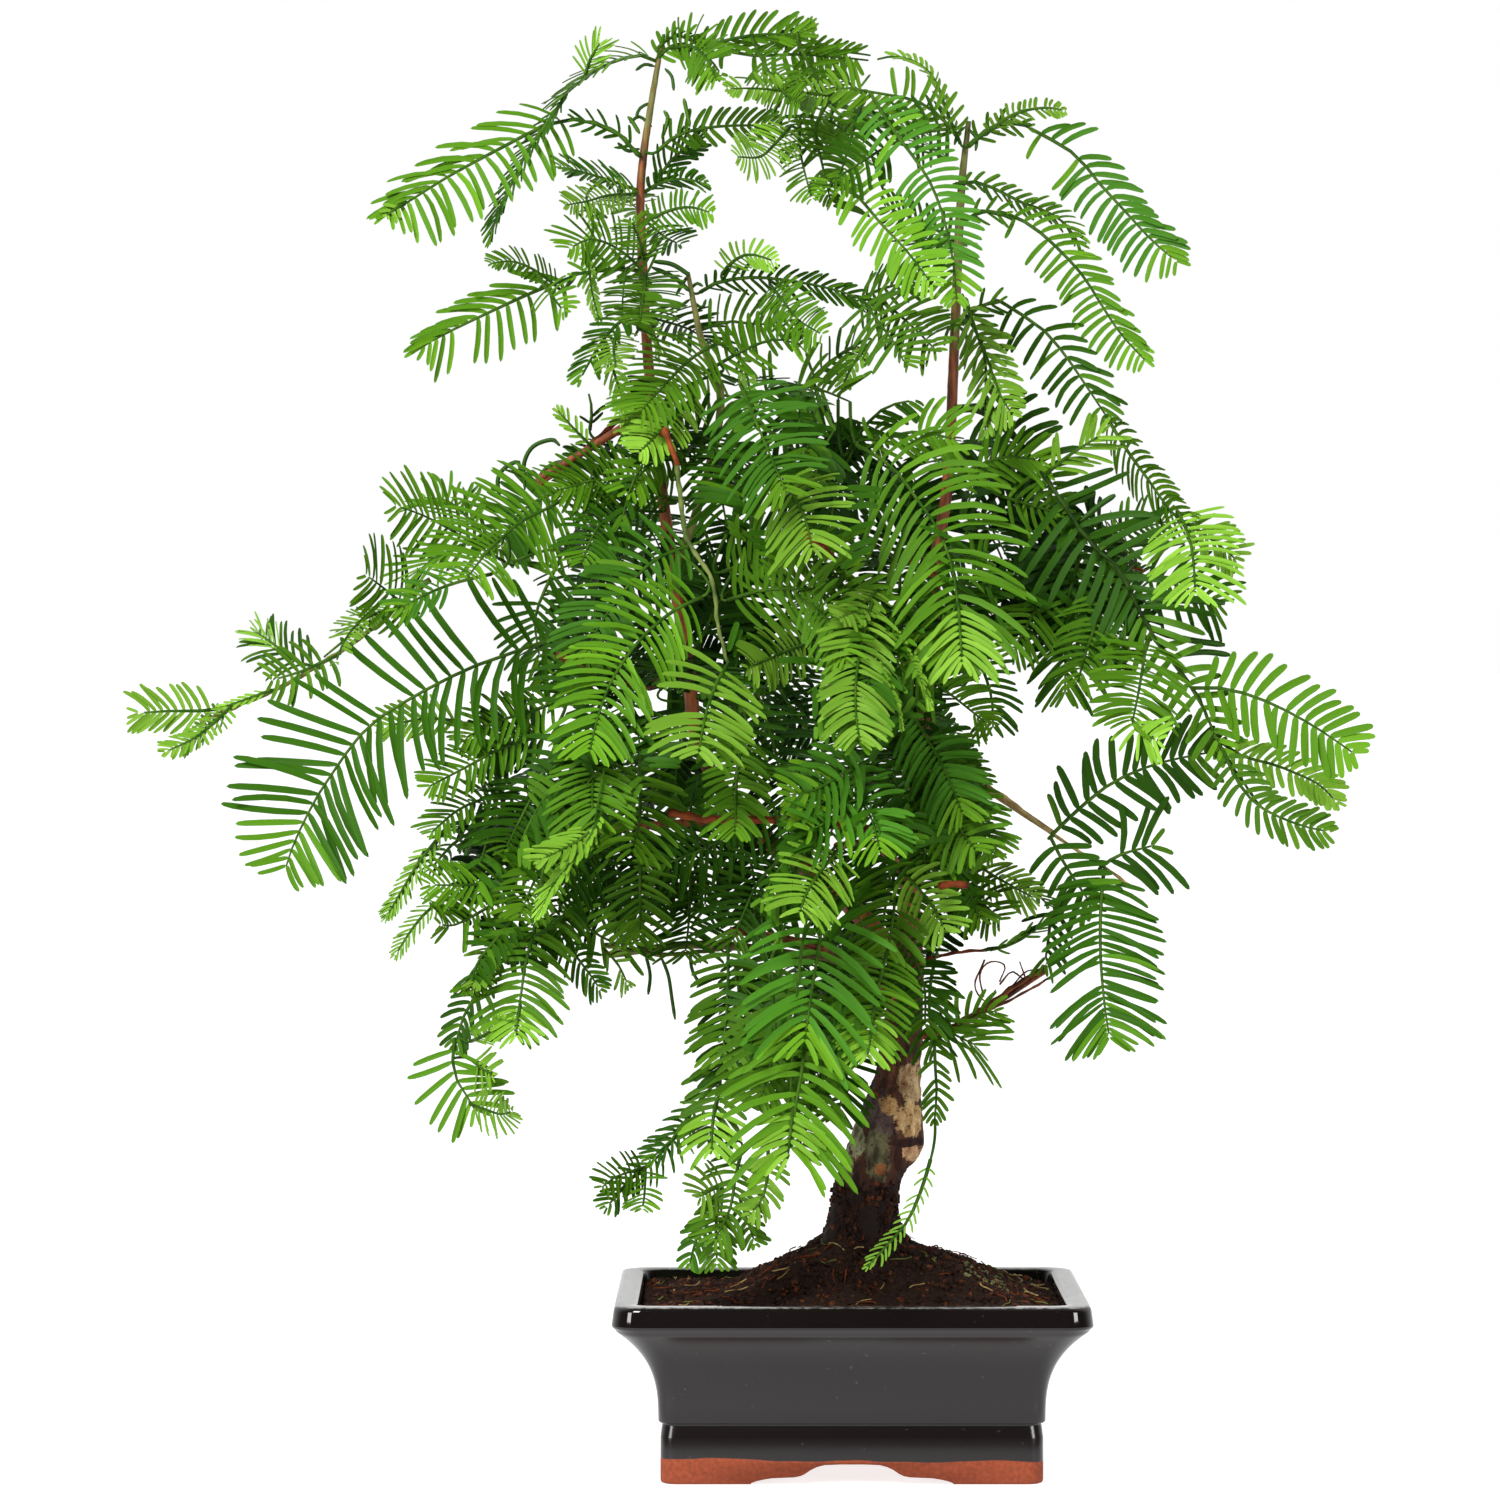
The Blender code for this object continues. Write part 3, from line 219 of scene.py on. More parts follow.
# Sprays that show in front, by the part of the crown they hang in, one a line: tint, turn
# away from the viewer, angle of the needles, lean to one side, their length, width and
# spacing, curve, depth at root and at tip, then the twig's points. Angles are in degrees,
# depths in millimetres behind the pot's middle, and the rest in the photograph's pixels.
# Rows tinted k are the darkest sprays, set deep behind the front ones: partly older needles, partly painted
# shade between the fronds.
SPRAYS = {
    "top_left": """
m 5 55 0 22 4.8 5.5 .1 0 -14 | 657,61 668,50 682,45 697,51 712,63 721,76
d 40 50 0 22 3.8 13 .1 -2 -8 | 640,157 622,138 600,127 575,121
m 30 50 0 22 3.8 13 .1 -2 -8 | 640,272 618,269 596,271 576,276
b 20 40 0 24 2.6 5 .1 -6 -8 | 585,80 590,62 600,45
b 20 35 0 14 3.2 6 0 -8 -10 | 592,447 575,430 558,411
l 30 30 0 18 2.6 6 0 -4 -6 | 640,330 655,336 660,350
m 78 52 0 44 4.2 7 .08 0 -8 | 657,63 640,57 612,64 586,79 560,101
d 60 40 0 26 3.6 5.5 .08 -8 -14 | 566,98 545,128 528,152 512,185 500,210 490,240
m 20 47 -29 57.6 5.6 11 .08 -2 -28 | 572,121 545,127 500,150 450,177 410,202 390,214
b 15 50 -10 14 4 9 .08 -26 -30 | 405,205 396,210 388,216
m 10 40 -20 52.2 5.6 11 .08 0 -22 | 572,278 540,290 500,308 450,332 424,346
m 40 50 0 20 3.6 6 .08 -5 -25 | 560,290 548,280 530,268 512,262 492,264
m 10 55 0 26 4.2 7 .08 -20 -30 | 545,287 552,296 564,312
d 55 45 0 28 3.9 6.5 .08 0 -18 | 640,192 612,182 586,174 562,168
b 20 55 0 22 3.6 6 .08 -5 -30 | 636,195 610,196 588,202 566,206
d 50 45 0 20 4.2 7 .08 0 -14 | 645,193 662,183 684,180 704,184
d 30 35 0 30 4.2 7 .08 0 10 | 655,188 668,165 685,150 698,143
m 15 55 0 22 4.2 7 .08 -5 -30 | 646,222 668,212 690,208 712,214
d 40 50 0 30 4.8 8 .08 0 15 | 650,225 665,238 680,245
m 25 55 0 38 4.2 7 .08 -4 -28 | 650,282 634,262 612,246 590,240 570,249
m 0 60 0 30 3.6 6 .08 -5 -35 | 645,262 640,242 632,222
m 0 66 0 41.4 4.3 5.8 .08 -8 -60 | 645,274 645,288 642,305 640,322
d 25 40 0 26 4.5 7.5 .08 -5 -25 | 640,308 616,326 598,348 580,380
b 10 55 0 26 3.6 6 .08 -10 -35 | 618,330 614,348 616,368
d 50 45 0 40 4.8 8 .08 -5 20 | 640,315 665,322 690,330 712,345
l 30 40 0 12 3.6 6 .08 0 -10 | 588,205 594,225 589,255 592,290 600,322
l 30 30 0 20 3.6 6 .08 -10 -25 | 606,350 614,372 622,398 628,425
d 20 35 0 16 4.2 7 .08 0 -10 | 590,430 592,410 588,390
m 10 58 0 34 5.4 7.5 .08 -3 -30 | 672,50 690,47 704,57 716,80
m 70 40 0 18 3.6 6 .08 -3 -10 | 658,50 672,38 690,40 700,45
m 25 50 0 24 4.8 8 .08 -3 10 | 658,152 675,138 695,131 730,127 780,127
""",
    "top_middle": """
m 25 33 -12 30 5.2 9 .08 -3 0 | 690,52 712,46 735,40 760,36 790,36 806,32
b 25 45 0 16 3.6 6 .08 0 10 | 780,34 798,30 812,30
m 30 50 20 28 5.2 9 .08 0 12 | 714,48 750,57 800,56 840,59 868,62
n 20 45 0 16 4.2 7 .08 5 15 | 790,45 820,50 850,54 870,57
m 10 55 0 28 3.6 6 .08 -10 -40 | 757,52 770,75 786,96 800,104
b 20 50 0 20 4.4 6 .08 -15 -45 | 832,97 790,93 758,90 728,90
m 10 60 0 28 5.2 9 .08 0 10 | 800,50 815,75 823,95
m 20 50 0 30 4.2 7 .08 10 40 | 862,95 842,80 820,72 795,72
b 10 60 0 30 3.9 6.5 .08 -5 -40 | 790,128 775,145 760,158 738,158
m 5 60 0 24 4.2 7 .08 0 -30 | 800,120 800,150 805,175 812,200
m 10 60 0 26 4.8 8 .08 10 0 | 786,118 812,118 835,125 850,140
m 10 55 0 24 4.2 7 .08 0 -20 | 830,100 815,130 822,165 830,200
m 10 55 0 22 4.2 7 .08 0 -20 | 860,110 852,135 845,160 838,180
n 5 60 0 36 5.6 8 .08 -20 -50 | 836,182 858,198 882,226 905,250 932,285
u 5 60 0 38 5.6 8 .08 -20 -50 | 872,98 892,130 916,162 932,188 945,225 953,265 956,300
d 40 45 0 24 4 8 .08 0 -15 | 700,293 718,283 755,278 800,283 840,292 870,303
m 5 58 0 42 4.8 8 .08 -10 -35 | 855,297 885,305 915,330 935,350
m 5 60 0 40 4.8 8 .08 -15 -35 | 862,300 878,322 895,345 905,365
m 30 55 0 30 4.2 7 .08 0 10 | 860,300 880,290 912,282
b 20 58 0 18 3.6 6 .08 -5 -20 | 722,275 733,262 750,255 775,262
m 5 62 0 28 5.1 7 .08 -5 -45 | 770,285 782,300 798,320 822,335
m 10 60 0 34 4.8 8 .08 0 20 | 702,330 730,322 760,325 795,320
m 20 55 0 34 4.8 8 .08 -10 -35 | 706,372 745,350 775,340 800,345
l 20 30 0 14 4.8 8 .08 -10 -20 | 738,352 748,380 752,410
d 30 50 -10 28 5 12 .08 10 30 | 800,395 820,370 845,352 862,345
l 20 30 0 14 4.2 7 .08 10 0 | 868,345 850,370 838,400
""",
    "top_right": """
m 30 50 0 20 3.8 12 .1 -3 -8 | 968,148 985,133 1005,125 1028,128
m 30 50 0 22 3.8 12 .1 -3 -8 | 962,222 985,212 1006,215
d 30 50 0 24 3.8 12 .1 -5 -9 | 962,325 978,308 1000,302
n 15 62 15 30 4.8 8 .08 -5 -20 | 958,140 940,118 915,102 880,95 850,90 830,90
b 60 50 0 16 4.2 7 .08 -5 5 | 960,145 945,110 935,82 918,65 895,58 872,62
d 5 62 0 39 5.2 9 .08 -5 -35 | 955,130 925,133 890,146 860,164 835,180
d 20 60 0 25 4.2 7 .08 0 -10 | 955,240 930,228 905,216 885,208
u 15 59 22 40 5.8 10 .08 -3 -22 | 1030,130 1072,154 1100,186 1126,214 1152,242 1176,262
b 30 50 0 14 4.2 7 .08 -3 -30 | 985,136 1000,123 1020,113 1045,109 1064,112
m 65 50 0 26 4.8 8 .08 -3 -10 | 955,185 975,183 995,190 1020,203 1045,212 1065,225 1082,250
m 20 60 25 34 5 9 .08 -3 -22 | 1005,214 1030,226 1056,248 1082,276 1100,304 1120,334 1144,360
d 25 58 20 41 5.4 11 .08 -5 -15 | 1000,302 1040,328 1062,352 1085,385 1105,415
b 20 45 0 36 4.8 8 .08 -10 -35 | 965,315 980,340 990,368 1000,395 1012,415
l 30 35 0 34 5.2 9 .08 -10 -30 | 966,300 975,330 985,360 985,400 985,430
""",
    "left": """
b 40 25 0 12 3 7 0 -18 -18 | 272,690 245,700 218,709
m 25 30 0 48 3.6 7 -.25 -18 -20 | 462,545 448,552 432,560 418,572
d 4 64 5 86 6.9 13 -.14 -8 -52 | 590,628 548,640 515,652 470,668 415,696 366,729 325,784 307,815 293,845 286,866
b 15 48 6 32 4.6 7.5 .05 -18 -22 | 218,709 198,711 170,711 138,713
b 30 45 0 20 3.8 7 .05 -18 -40 | 232,706 215,722 195,738 165,752
m 40 45 0 20 3.6 7 .05 -18 0 | 230,708 212,722 200,733 185,748
d 15 50 0 38 4 9 -.1 -15 0 | 320,668 298,662 276,650 262,640
l 20 20 0 40 2 8 0 -12 5 | 284,652 268,640 256,632
m 20 66 0 34 4.8 8 .1 -16 -24 | 338,655 318,664 300,672 272,680
m 60 45 0 30 3.9 6.5 .2 -14 -26 | 408,604 375,618 345,640 324,657
b 30 50 0 20 3.6 6 0 -14 -44 | 380,612 360,622 345,640 336,662
m 10 62 0 66 5.2 7 0.06 -15 -62 | 575,488 556,504 524,520 502,538 484,556 468,577
m 30 58 -8 52 4.8 8 .12 5 -18 | 505,562 472,543 446,527 420,514 396,506
u 35 45 0 34 4.2 7 .1 -30 -44 | 492,574 455,583 425,595 398,610
m 30 60 0 50 4.8 8 .2 -15 -34 | 418,613 396,598 380,585 366,575
m 45 50 0 46 4.2 7 .15 -5 10 | 480,530 460,510 445,500 425,498
b 20 45 0 28 4.2 7 0 -12 -16 | 462,722 430,718 405,722 384,727
m 20 50 0 34 4.2 7 0 -15 -35 | 550,735 508,745 470,765 430,786
m 20 50 0 34 4.2 7 0 -15 -25 | 560,700 530,712 495,722 462,740
m 30 50 0 30 4.2 7 0 -15 -35 | 520,790 480,800 455,812 432,832
l 20 35 0 16 2.4 7 0 -28 -34 | 445,830 422,858 405,885 386,918
d 60 60 0 30 4.8 8 .3 -5 -15 | 480,830 460,838 445,852 430,870
""",
    "centre": """
k 5 60 0 50 6.5 6 0 30 30 | 700,520 712,550 720,580 722,610
k 5 60 0 50 6.5 6 0 36 36 | 690,600 710,630 735,650 765,655
k 5 60 0 46 6.5 6 0 30 30 | 640,620 650,650 665,680 690,700
k 5 60 0 46 6.5 6 0 30 30 | 735,830 750,860 755,890 755,920
k 5 60 0 46 6.5 6 0 30 30 | 760,425 785,440 810,445 840,450
k 5 60 0 46 6.5 6 0 30 30 | 890,470 915,490 940,520 955,555
d 5 60 0 42 5.5 6 0 20 20 | 560,490 530,505 510,525 500,550
k 5 60 0 46 6.5 6 0 30 30 | 880,840 890,870 885,910 880,940
k 5 60 0 40 6.5 6 0 30 30 | 550,740 525,735 505,740 490,755
k 5 60 0 50 5.21 7 0 10 10 | 790,470 820,478 850,490 880,500
k 10 60 0 50 5.21 7 0 10 0 | 860,440 845,465 835,495 830,530
k 10 60 0 50 5.21 7 0 30 20 | 620,560 600,600 585,640 575,690
k 10 60 0 50 5.21 7 0 30 20 | 700,640 690,690 680,740 675,790
k 10 60 0 50 5.21 7 0 30 20 | 790,600 780,640 765,690 755,740
k 10 60 0 50 5.21 7 0 30 10 | 730,820 710,850 680,870 640,880
k 10 60 0 50 5.21 7 0 30 10 | 560,800 590,840 620,870 640,905
d 10 60 0 46 4.65 7 0 0 0 | 690,820 700,850 705,880 705,910
d 10 60 0 46 4.65 7 0 0 0 | 590,850 600,870 605,890 600,915
d 10 60 0 46 4.65 7 0 20 20 | 560,560 545,590 535,620 540,660
b 0 66 0 56 6.51 8.4 .08 -70 -92 | 727,665 717,682 708,706 702,732 699,752
b 5 52 0 36 4.84 6 .1 -40 -70 | 812,642 788,650 766,660 748,668
b 0 55 0 42 4.84 6 .1 -70 -95 | 872,602 862,640 856,680 856,715 860,742
b 75 40 0 24 4.19 5 .1 -60 -90 | 872,612 895,640 915,668 930,702
b 78 35 0 20 4.19 5 .1 -70 -95 | 864,645 880,672 895,700 903,724
b 30 55 0 24 4.84 6 .1 -60 -80 | 878,590 868,600 852,612 840,618
m 5 52 0 86 6.42 10.8 .1 -35 -78 | 862,448 893,468 915,497 938,530 952,568 958,610 960,652
b 5 45 0 50 5.39 7 .1 -72 -82 | 958,604 960,632 962,662
u 5 55 0 62 5.77 7.8 .05 -45 -80 | 740,385 755,420 770,455 785,490
b 5 50 0 58 5.49 7.2 .05 -60 -85 | 783,480 796,500 806,522 812,548
m 8 58 0 56 5.39 7 .1 -50 -80 | 702,597 672,612 640,640 612,680 597,720 590,750
u 15 55 0 50 5.39 7 .1 -40 -60 | 692,545 655,560 625,590 600,625 585,655
d 10 60 0 38 4.74 6.5 .1 -10 -40 | 662,512 625,512 598,528 582,562
m 15 50 0 42 4.37 6 .1 0 -30 | 675,502 640,486 600,480 560,490
b 20 50 0 46 4.37 6 .1 -15 -45 | 722,372 690,385 660,405 640,432
m 20 50 0 50 4.46 6.2 .1 -20 -50 | 715,345 690,360 665,385 640,412
b 10 55 0 32 4.84 6 .1 -30 -55 | 697,395 680,410 662,430 640,452
m 20 50 0 36 4.93 7 .1 -10 -30 | 692,440 668,452 645,470 628,492
d 10 55 0 45 5.3 8 0 -10 -30 | 705,430 715,465 722,500 728,532
m 10 50 0 60 5.67 7.5 .15 -30 -60 | 728,600 765,590 805,590 845,605 872,628
m 15 45 0 62 5.3 7.8 .2 -20 -50 | 722,572 760,560 800,560 845,570
m 5 55 0 38 4.84 6 .1 -60 -80 | 800,598 820,612 835,632 845,658
m 10 55 -10 42 5.3 8 .1 -20 -35 | 868,448 890,437 920,432 957,440
d 10 60 0 30 6.23 10 -.1 0 -20 | 848,452 862,430 885,408 915,400
m 20 50 0 40 4.93 7 0 -10 -20 | 945,482 975,467 1005,457 1040,460
m 5 55 0 38 4.84 6 .1 -55 -75 | 745,735 738,765 736,800 735,832
u 10 50 0 50 5.02 6.2 .1 -40 -60 | 905,700 925,735 945,770 962,812
m 20 50 0 42 4.37 6 .1 -30 -50 | 880,640 910,665 945,690 985,722
m 5 60 0 48 4.84 6 .1 -60 -80 | 598,742 593,775 592,822
m 10 55 0 46 4.93 7 .1 0 -20 | 760,395 790,385 820,390 850,402
d 5 60 0 50 5.3 8 0 15 0 | 800,450 825,430 850,420 880,432
k 5 60 0 50 4.93 7 0 10 10 | 720,520 750,540 790,535 830,520
k 5 60 0 50 4.93 7 0 20 10 | 900,600 900,560 905,520 915,480
d 5 60 0 50 4.93 7 0 0 -20 | 880,690 930,640 950,600 990,560
k 5 60 0 50 4.93 7 0 20 20 | 660,690 700,640 720,600 760,560
k 5 60 0 50 4.93 7 0 20 20 | 780,690 800,720 830,760 860,790
k 5 60 0 50 4.93 7 0 20 0 | 560,640 600,640 640,600 690,570
""",
    "right": """
d 10 70 0 46 7 11 .1 -4 -12 | 985,405 1008,430 1030,455 1052,484
d 5 62 0 78 7.4 13 -.1 -12 -30 | 1045,476 1070,515 1095,548 1115,568 1133,597 1150,636
m 5 62 0 34 6.7 13 0 -30 -32 | 1150,634 1180,672 1200,702 1222,750
m 5 60 0 45 7.8 10.5 .05 -32 -45 | 1193,688 1220,688 1250,695 1285,710 1320,730 1352,752
b 20 50 0 26 5.6 7 .1 -32 -20 | 1215,737 1240,755 1275,765 1300,775 1320,785 1337,802
m 15 52 0 29 5.6 8.5 .1 -32 -45 | 1222,748 1240,785 1262,808 1300,825 1330,832
d 5 62 6 48 7.4 10.4 .05 -25 -30 | 1052,835 1080,808 1112,783 1150,766 1185,757 1213,752
d 10 60 0 40 6.6 10.4 .05 -25 -25 | 1050,836 1060,856 1075,880 1092,905
d 5 60 0 56 6.8 10.5 -.05 -25 -25 | 1100,868 1120,855 1152,846
m 0 62 0 52 5.6 6.5 .1 -32 -60 | 1147,640 1143,665 1138,695 1132,724
b 0 55 0 30 4.4 6 .1 -58 -64 | 1132,718 1138,732 1158,740
m 60 50 -8 38 4.2 7 .2 -15 -28 | 1105,415 1125,448 1148,480 1168,508 1190,530
b 5 58 0 54 5.1 7 .1 -30 -50 | 1178,512 1188,535 1193,560 1195,592
b 10 48 0 30 4.8 8 0 -28 -35 | 1185,522 1205,535 1220,546 1234,558
m 15 50 0 34 4.2 7 .1 -20 -10 | 1108,545 1135,530 1165,522
b 15 40 0 38 4.8 8 0 -20 -30 | 1046,474 1065,458 1085,445 1102,434
m 15 50 0 36 4.2 7 .1 -10 -10 | 1000,496 1030,505 1062,514
d 5 46 0 48 4.8 8 0 -8 -12 | 1078,562 1068,600 1066,640 1065,692
m 10 50 0 42 4.8 8 0 -5 -20 | 1045,590 1030,620 1012,652
m 10 50 0 42 4.2 7 .1 -20 -40 | 1105,590 1095,625 1085,655 1078,682
d 10 55 0 46 4.8 8 .1 -15 -20 | 1140,575 1160,580 1190,590 1217,602
d 5 50 0 34 4.2 7 .1 -20 -30 | 975,650 985,675 992,700 993,727
m 10 50 0 42 4.4 6 .1 -30 -50 | 935,745 955,780 975,815 992,852
b 20 45 0 30 3.6 6 .1 -20 -30 | 965,850 985,870 1010,885 1032,897
d 0 61 -4 62 5.6 6.3 0.02 -24 -42 | 1104,872 1101,911 1101,958 1105,1005 1110,1038
""",
    "low_left": """
m 5 60 0 52 5.3 7.5 .1 -30 -50 | 540,905 533,935 525,965 520,1000 514,1030
b 5 50 0 30 4.4 6 .1 -46 -52 | 520,1005 517,1022 516,1036
d 20 45 0 26 4.8 8 .1 -25 -25 | 490,970 478,992 464,1015 455,1045
m 5 62 0 48 5.6 9 -.05 -25 -30 | 454,1040 452,1060 456,1080 466,1096 474,1110
b 10 50 0 26 4.2 7 0 -25 -35 | 470,1060 480,1068 492,1075
b 30 40 0 20 4.4 6 .05 -30 -50 | 470,1042 485,1035 505,1020
b 10 45 0 26 4.4 6 .05 -30 -50 | 470,1105 485,1110 500,1115 512,1112
m 20 50 0 34 3.9 6.5 .1 -25 -40 | 530,870 500,880 470,885 430,885
m 10 50 0 34 4.4 6 .1 -25 -45 | 500,900 480,912 455,925 440,925
b 60 35 0 22 4.1 5.5 .1 -80 -100 | 602,812 590,838 572,862 552,888 540,915
b 40 35 0 30 4.4 6 .1 -80 -95 | 598,825 580,840 558,852 540,860
m 5 50 0 40 5.1 7 .1 -30 -60 | 560,830 545,860 530,890 520,915
d 5 50 0 44 4.2 7 .1 -10 -30 | 600,850 575,870 560,900 560,930
l 20 40 0 16 2.4 6 0 -25 -35 | 470,890 435,905 415,925 395,955
l 20 40 0 15 2.4 7 0 -28 -34 | 425,850 410,880 398,900 385,915
d 20 50 0 28 5.3 7.5 .1 -30 -50 | 520,910 500,935 478,962 470,990
m 10 50 0 30 5.1 7 .1 -30 -50 | 500,930 485,955 470,975 462,990
b 20 45 0 26 4.4 6 .1 -30 -50 | 495,940 482,965 472,985
d 20 45 0 26 4.2 7 .1 -20 -30 | 560,930 575,955 590,975 600,990
l 20 40 0 20 3.6 6 0 -20 -30 | 605,950 618,965 628,985
m 10 55 0 34 4.8 8 0 -20 -20 | 560,905 590,930 620,945 640,940
d 10 60 0 40 4.2 7 .1 -10 -20 | 560,880 590,895 615,920 640,925
m 10 55 0 40 4.2 7 0 -20 -30 | 640,860 640,890 640,915 640,935
d 5 60 0 44 4.2 7 0 0 -20 | 690,870 690,900 688,930 685,955
k 5 60 0 46 4.2 7 0 0 0 | 640,800 640,840 645,880 650,910
d 10 60 0 44 4.2 7 .1 -20 -20 | 780,800 740,830 700,850 650,870
d 10 60 0 50 4.2 7 .1 -20 -30 | 790,850 760,880 745,910 733,940
m 5 60 0 44 6.1 9 .1 -30 -50 | 728,945 728,985 726,1020 722,1060
d 5 60 0 50 6.1 9 .1 -28 -48 | 735,965 740,1000 742,1040 740,1080
m 10 55 0 38 5.6 8 .1 -45 -50 | 722,1055 720,1085 716,1110 708,1140
b 5 52 0 36 5.1 7 .1 -50 -55 | 715,1105 712,1130 712,1150
d 20 40 0 22 3.4 8 .1 -35 -35 | 705,1095 690,1115 672,1140 650,1160
d 30 60 -10 28 3.4 9 .15 -35 -30 | 690,1115 678,1135 660,1155 645,1170
m 10 55 0 24 4 6.5 .1 -30 -45 | 645,1168 632,1172 615,1178 602,1188
m 10 55 0 24 4 6.5 .1 -30 -45 | 645,1168 645,1182 644,1198 642,1210
d 10 45 0 22 3.8 7 .1 -30 -40 | 650,1165 630,1180 618,1195 606,1208
m 5 55 0 38 4.8 6.5 .1 -50 -58 | 742,1150 735,1180 730,1210 715,1240
b 5 50 0 24 4.8 6.5 .1 -55 -62 | 768,1150 768,1175 762,1200 750,1215
b 5 50 0 30 4.8 6.5 .1 -50 -60 | 728,1185 712,1190 700,1198
m 5 50 0 18 4.8 6.5 .1 -50 -55 | 740,1200 745,1215 752,1235 755,1245
m 5 50 0 26 4.8 6.5 .1 -50 -55 | 718,1205 716,1225 716,1245 717,1265
d 20 45 0 20 4.8 6.5 .1 -45 -45 | 705,1215 698,1235 692,1255 690,1265
""",
    "front": """
u 0 52 0 80 6.7 10 .05 -60 -85 | 825,900 820,940 812,990 805,1040
m 0 52 0 78 6.7 9.8 .05 -80 -92 | 806,1030 802,1070 795,1110 790,1155
b 0 55 0 40 5.39 7 .05 -88 -94 | 793,1110 790,1135 788,1160
m 0 52 0 60 5.95 8 .05 -60 -80 | 770,980 775,1020 772,1060 760,1100
m 5 55 0 40 5.21 8 .1 -60 -80 | 826,1060 814,1100 806,1130 804,1150
b 5 45 0 30 4.65 7 .1 -70 -80 | 796,1120 800,1140 804,1160
b 5 55 0 46 4.74 5.8 .1 -80 -104 | 838,850 822,870 808,890 800,912
m 0 62 0 44 4.84 6 .1 -60 -80 | 888,950 880,980 874,1010 870,1045
b 0 50 0 34 4.65 5.5 .1 -74 -82 | 874,1015 871,1035 868,1055
u 5 50 0 46 4.84 6 .1 -60 -85 | 830,760 850,790 870,815 880,850
u 5 50 0 50 6.42 9 .2 -70 -90 | 880,800 850,800 830,820 810,830
u 5 45 0 46 6.42 9 .2 -70 -90 | 870,760 840,775 815,790 790,795
d 5 58 0 44 4.37 6 .1 -40 -50 | 905,770 915,800 922,830 925,870
m 5 58 0 44 4.84 6 .1 -40 -60 | 935,760 945,790 955,820 975,850
b 5 55 0 34 4.84 6 .1 -50 -60 | 900,870 920,890 935,910 945,930
m 5 55 0 50 5.39 7 .1 -45 -60 | 890,860 895,890 893,920 888,950
m 10 50 0 34 4.65 8 .05 -30 -40 | 950,850 960,873 970,896 980,918
m 0 60 0 34 4.65 8 .1 -25 -40 | 950,870 968,890 985,905 1000,920
d 10 55 0 40 4.93 7 .1 -30 -50 | 900,930 915,960 925,990 925,1030
m 20 45 0 38 4.65 9 .1 -20 -30 | 935,1040 955,1030 975,1015 995,1012
d 15 50 0 36 4.65 9 .1 -20 -30 | 935,960 930,990 930,1020 935,1050
m 30 40 0 56 4.74 10 -.1 -25 -30 | 930,1010 945,1030 965,1040 975,1045
m 10 45 0 20 4.2 9 .1 -40 -50 | 935,1030 935,1060 937,1090 935,1120
l 35 38 0 15 2.42 8 .1 -58 -72 | 931,1160 922,1190 908,1222 888,1246 868,1268
m 40 28 0 18 3.72 7 .1 -15 -15 | 990,950 1010,945 1035,930 1055,915
d 25 45 0 34 4.65 9 .1 -15 -20 | 1060,905 1050,925 1048,945 1045,965
m 60 50 0 18 4.37 6 .1 -15 -10 | 1015,880 1035,892 1048,905
k 5 60 0 50 4.93 7 0 20 0 | 880,700 890,740 895,780 900,820
k 5 60 0 50 4.93 7 0 10 0 | 760,700 775,750 785,800 790,850
k 5 60 0 50 4.93 7 0 20 0 | 830,860 850,900 860,950 860,1000
d 5 60 0 54 4.93 7 0 0 -10 | 760,900 765,940 765,980 765,1020
d 5 60 0 38 4.93 7 0 -10 -20 | 845,1040 848,1065 844,1090 838,1115
d 5 60 0 50 4.93 7 0 0 0 | 730,700 740,730 735,780 720,820
m 5 60 0 50 4.93 7 .1 -40 -50 | 640,760 640,790 640,820 632,850
k 5 60 0 50 4.93 7 0 0 0 | 540,780 560,810 575,840 580,880
d 5 55 0 46 4.93 7 .1 -20 -40 | 550,760 530,800 515,830 505,850
""",
}

# Foliage tints, from the oldest inner needles to the youngest tips, as linear colours.
# The darkest, k, goes on needles deep in the crown: partly the older needles' own darker
# green, partly painted shade for the crown's shaded inside.
TINTS = {
    "k": (0.007, 0.030, 0.001),
    "d": (0.019, 0.070, 0.002),
    "m": (0.050, 0.137, 0.005),
    "n": (0.076, 0.190, 0.007),
    "u": (0.036, 0.125, 0.007),
    "b": (0.118, 0.255, 0.018),
    "y": (0.160, 0.320, 0.028),
    "l": (0.120, 0.250, 0.026),
}
SHADES = (0.8, 1.0, 1.2)
YOUNGER = {"k": "d", "d": "m", "m": "n", "n": "b", "u": "n", "b": "y", "y": "y", "l": "l"}

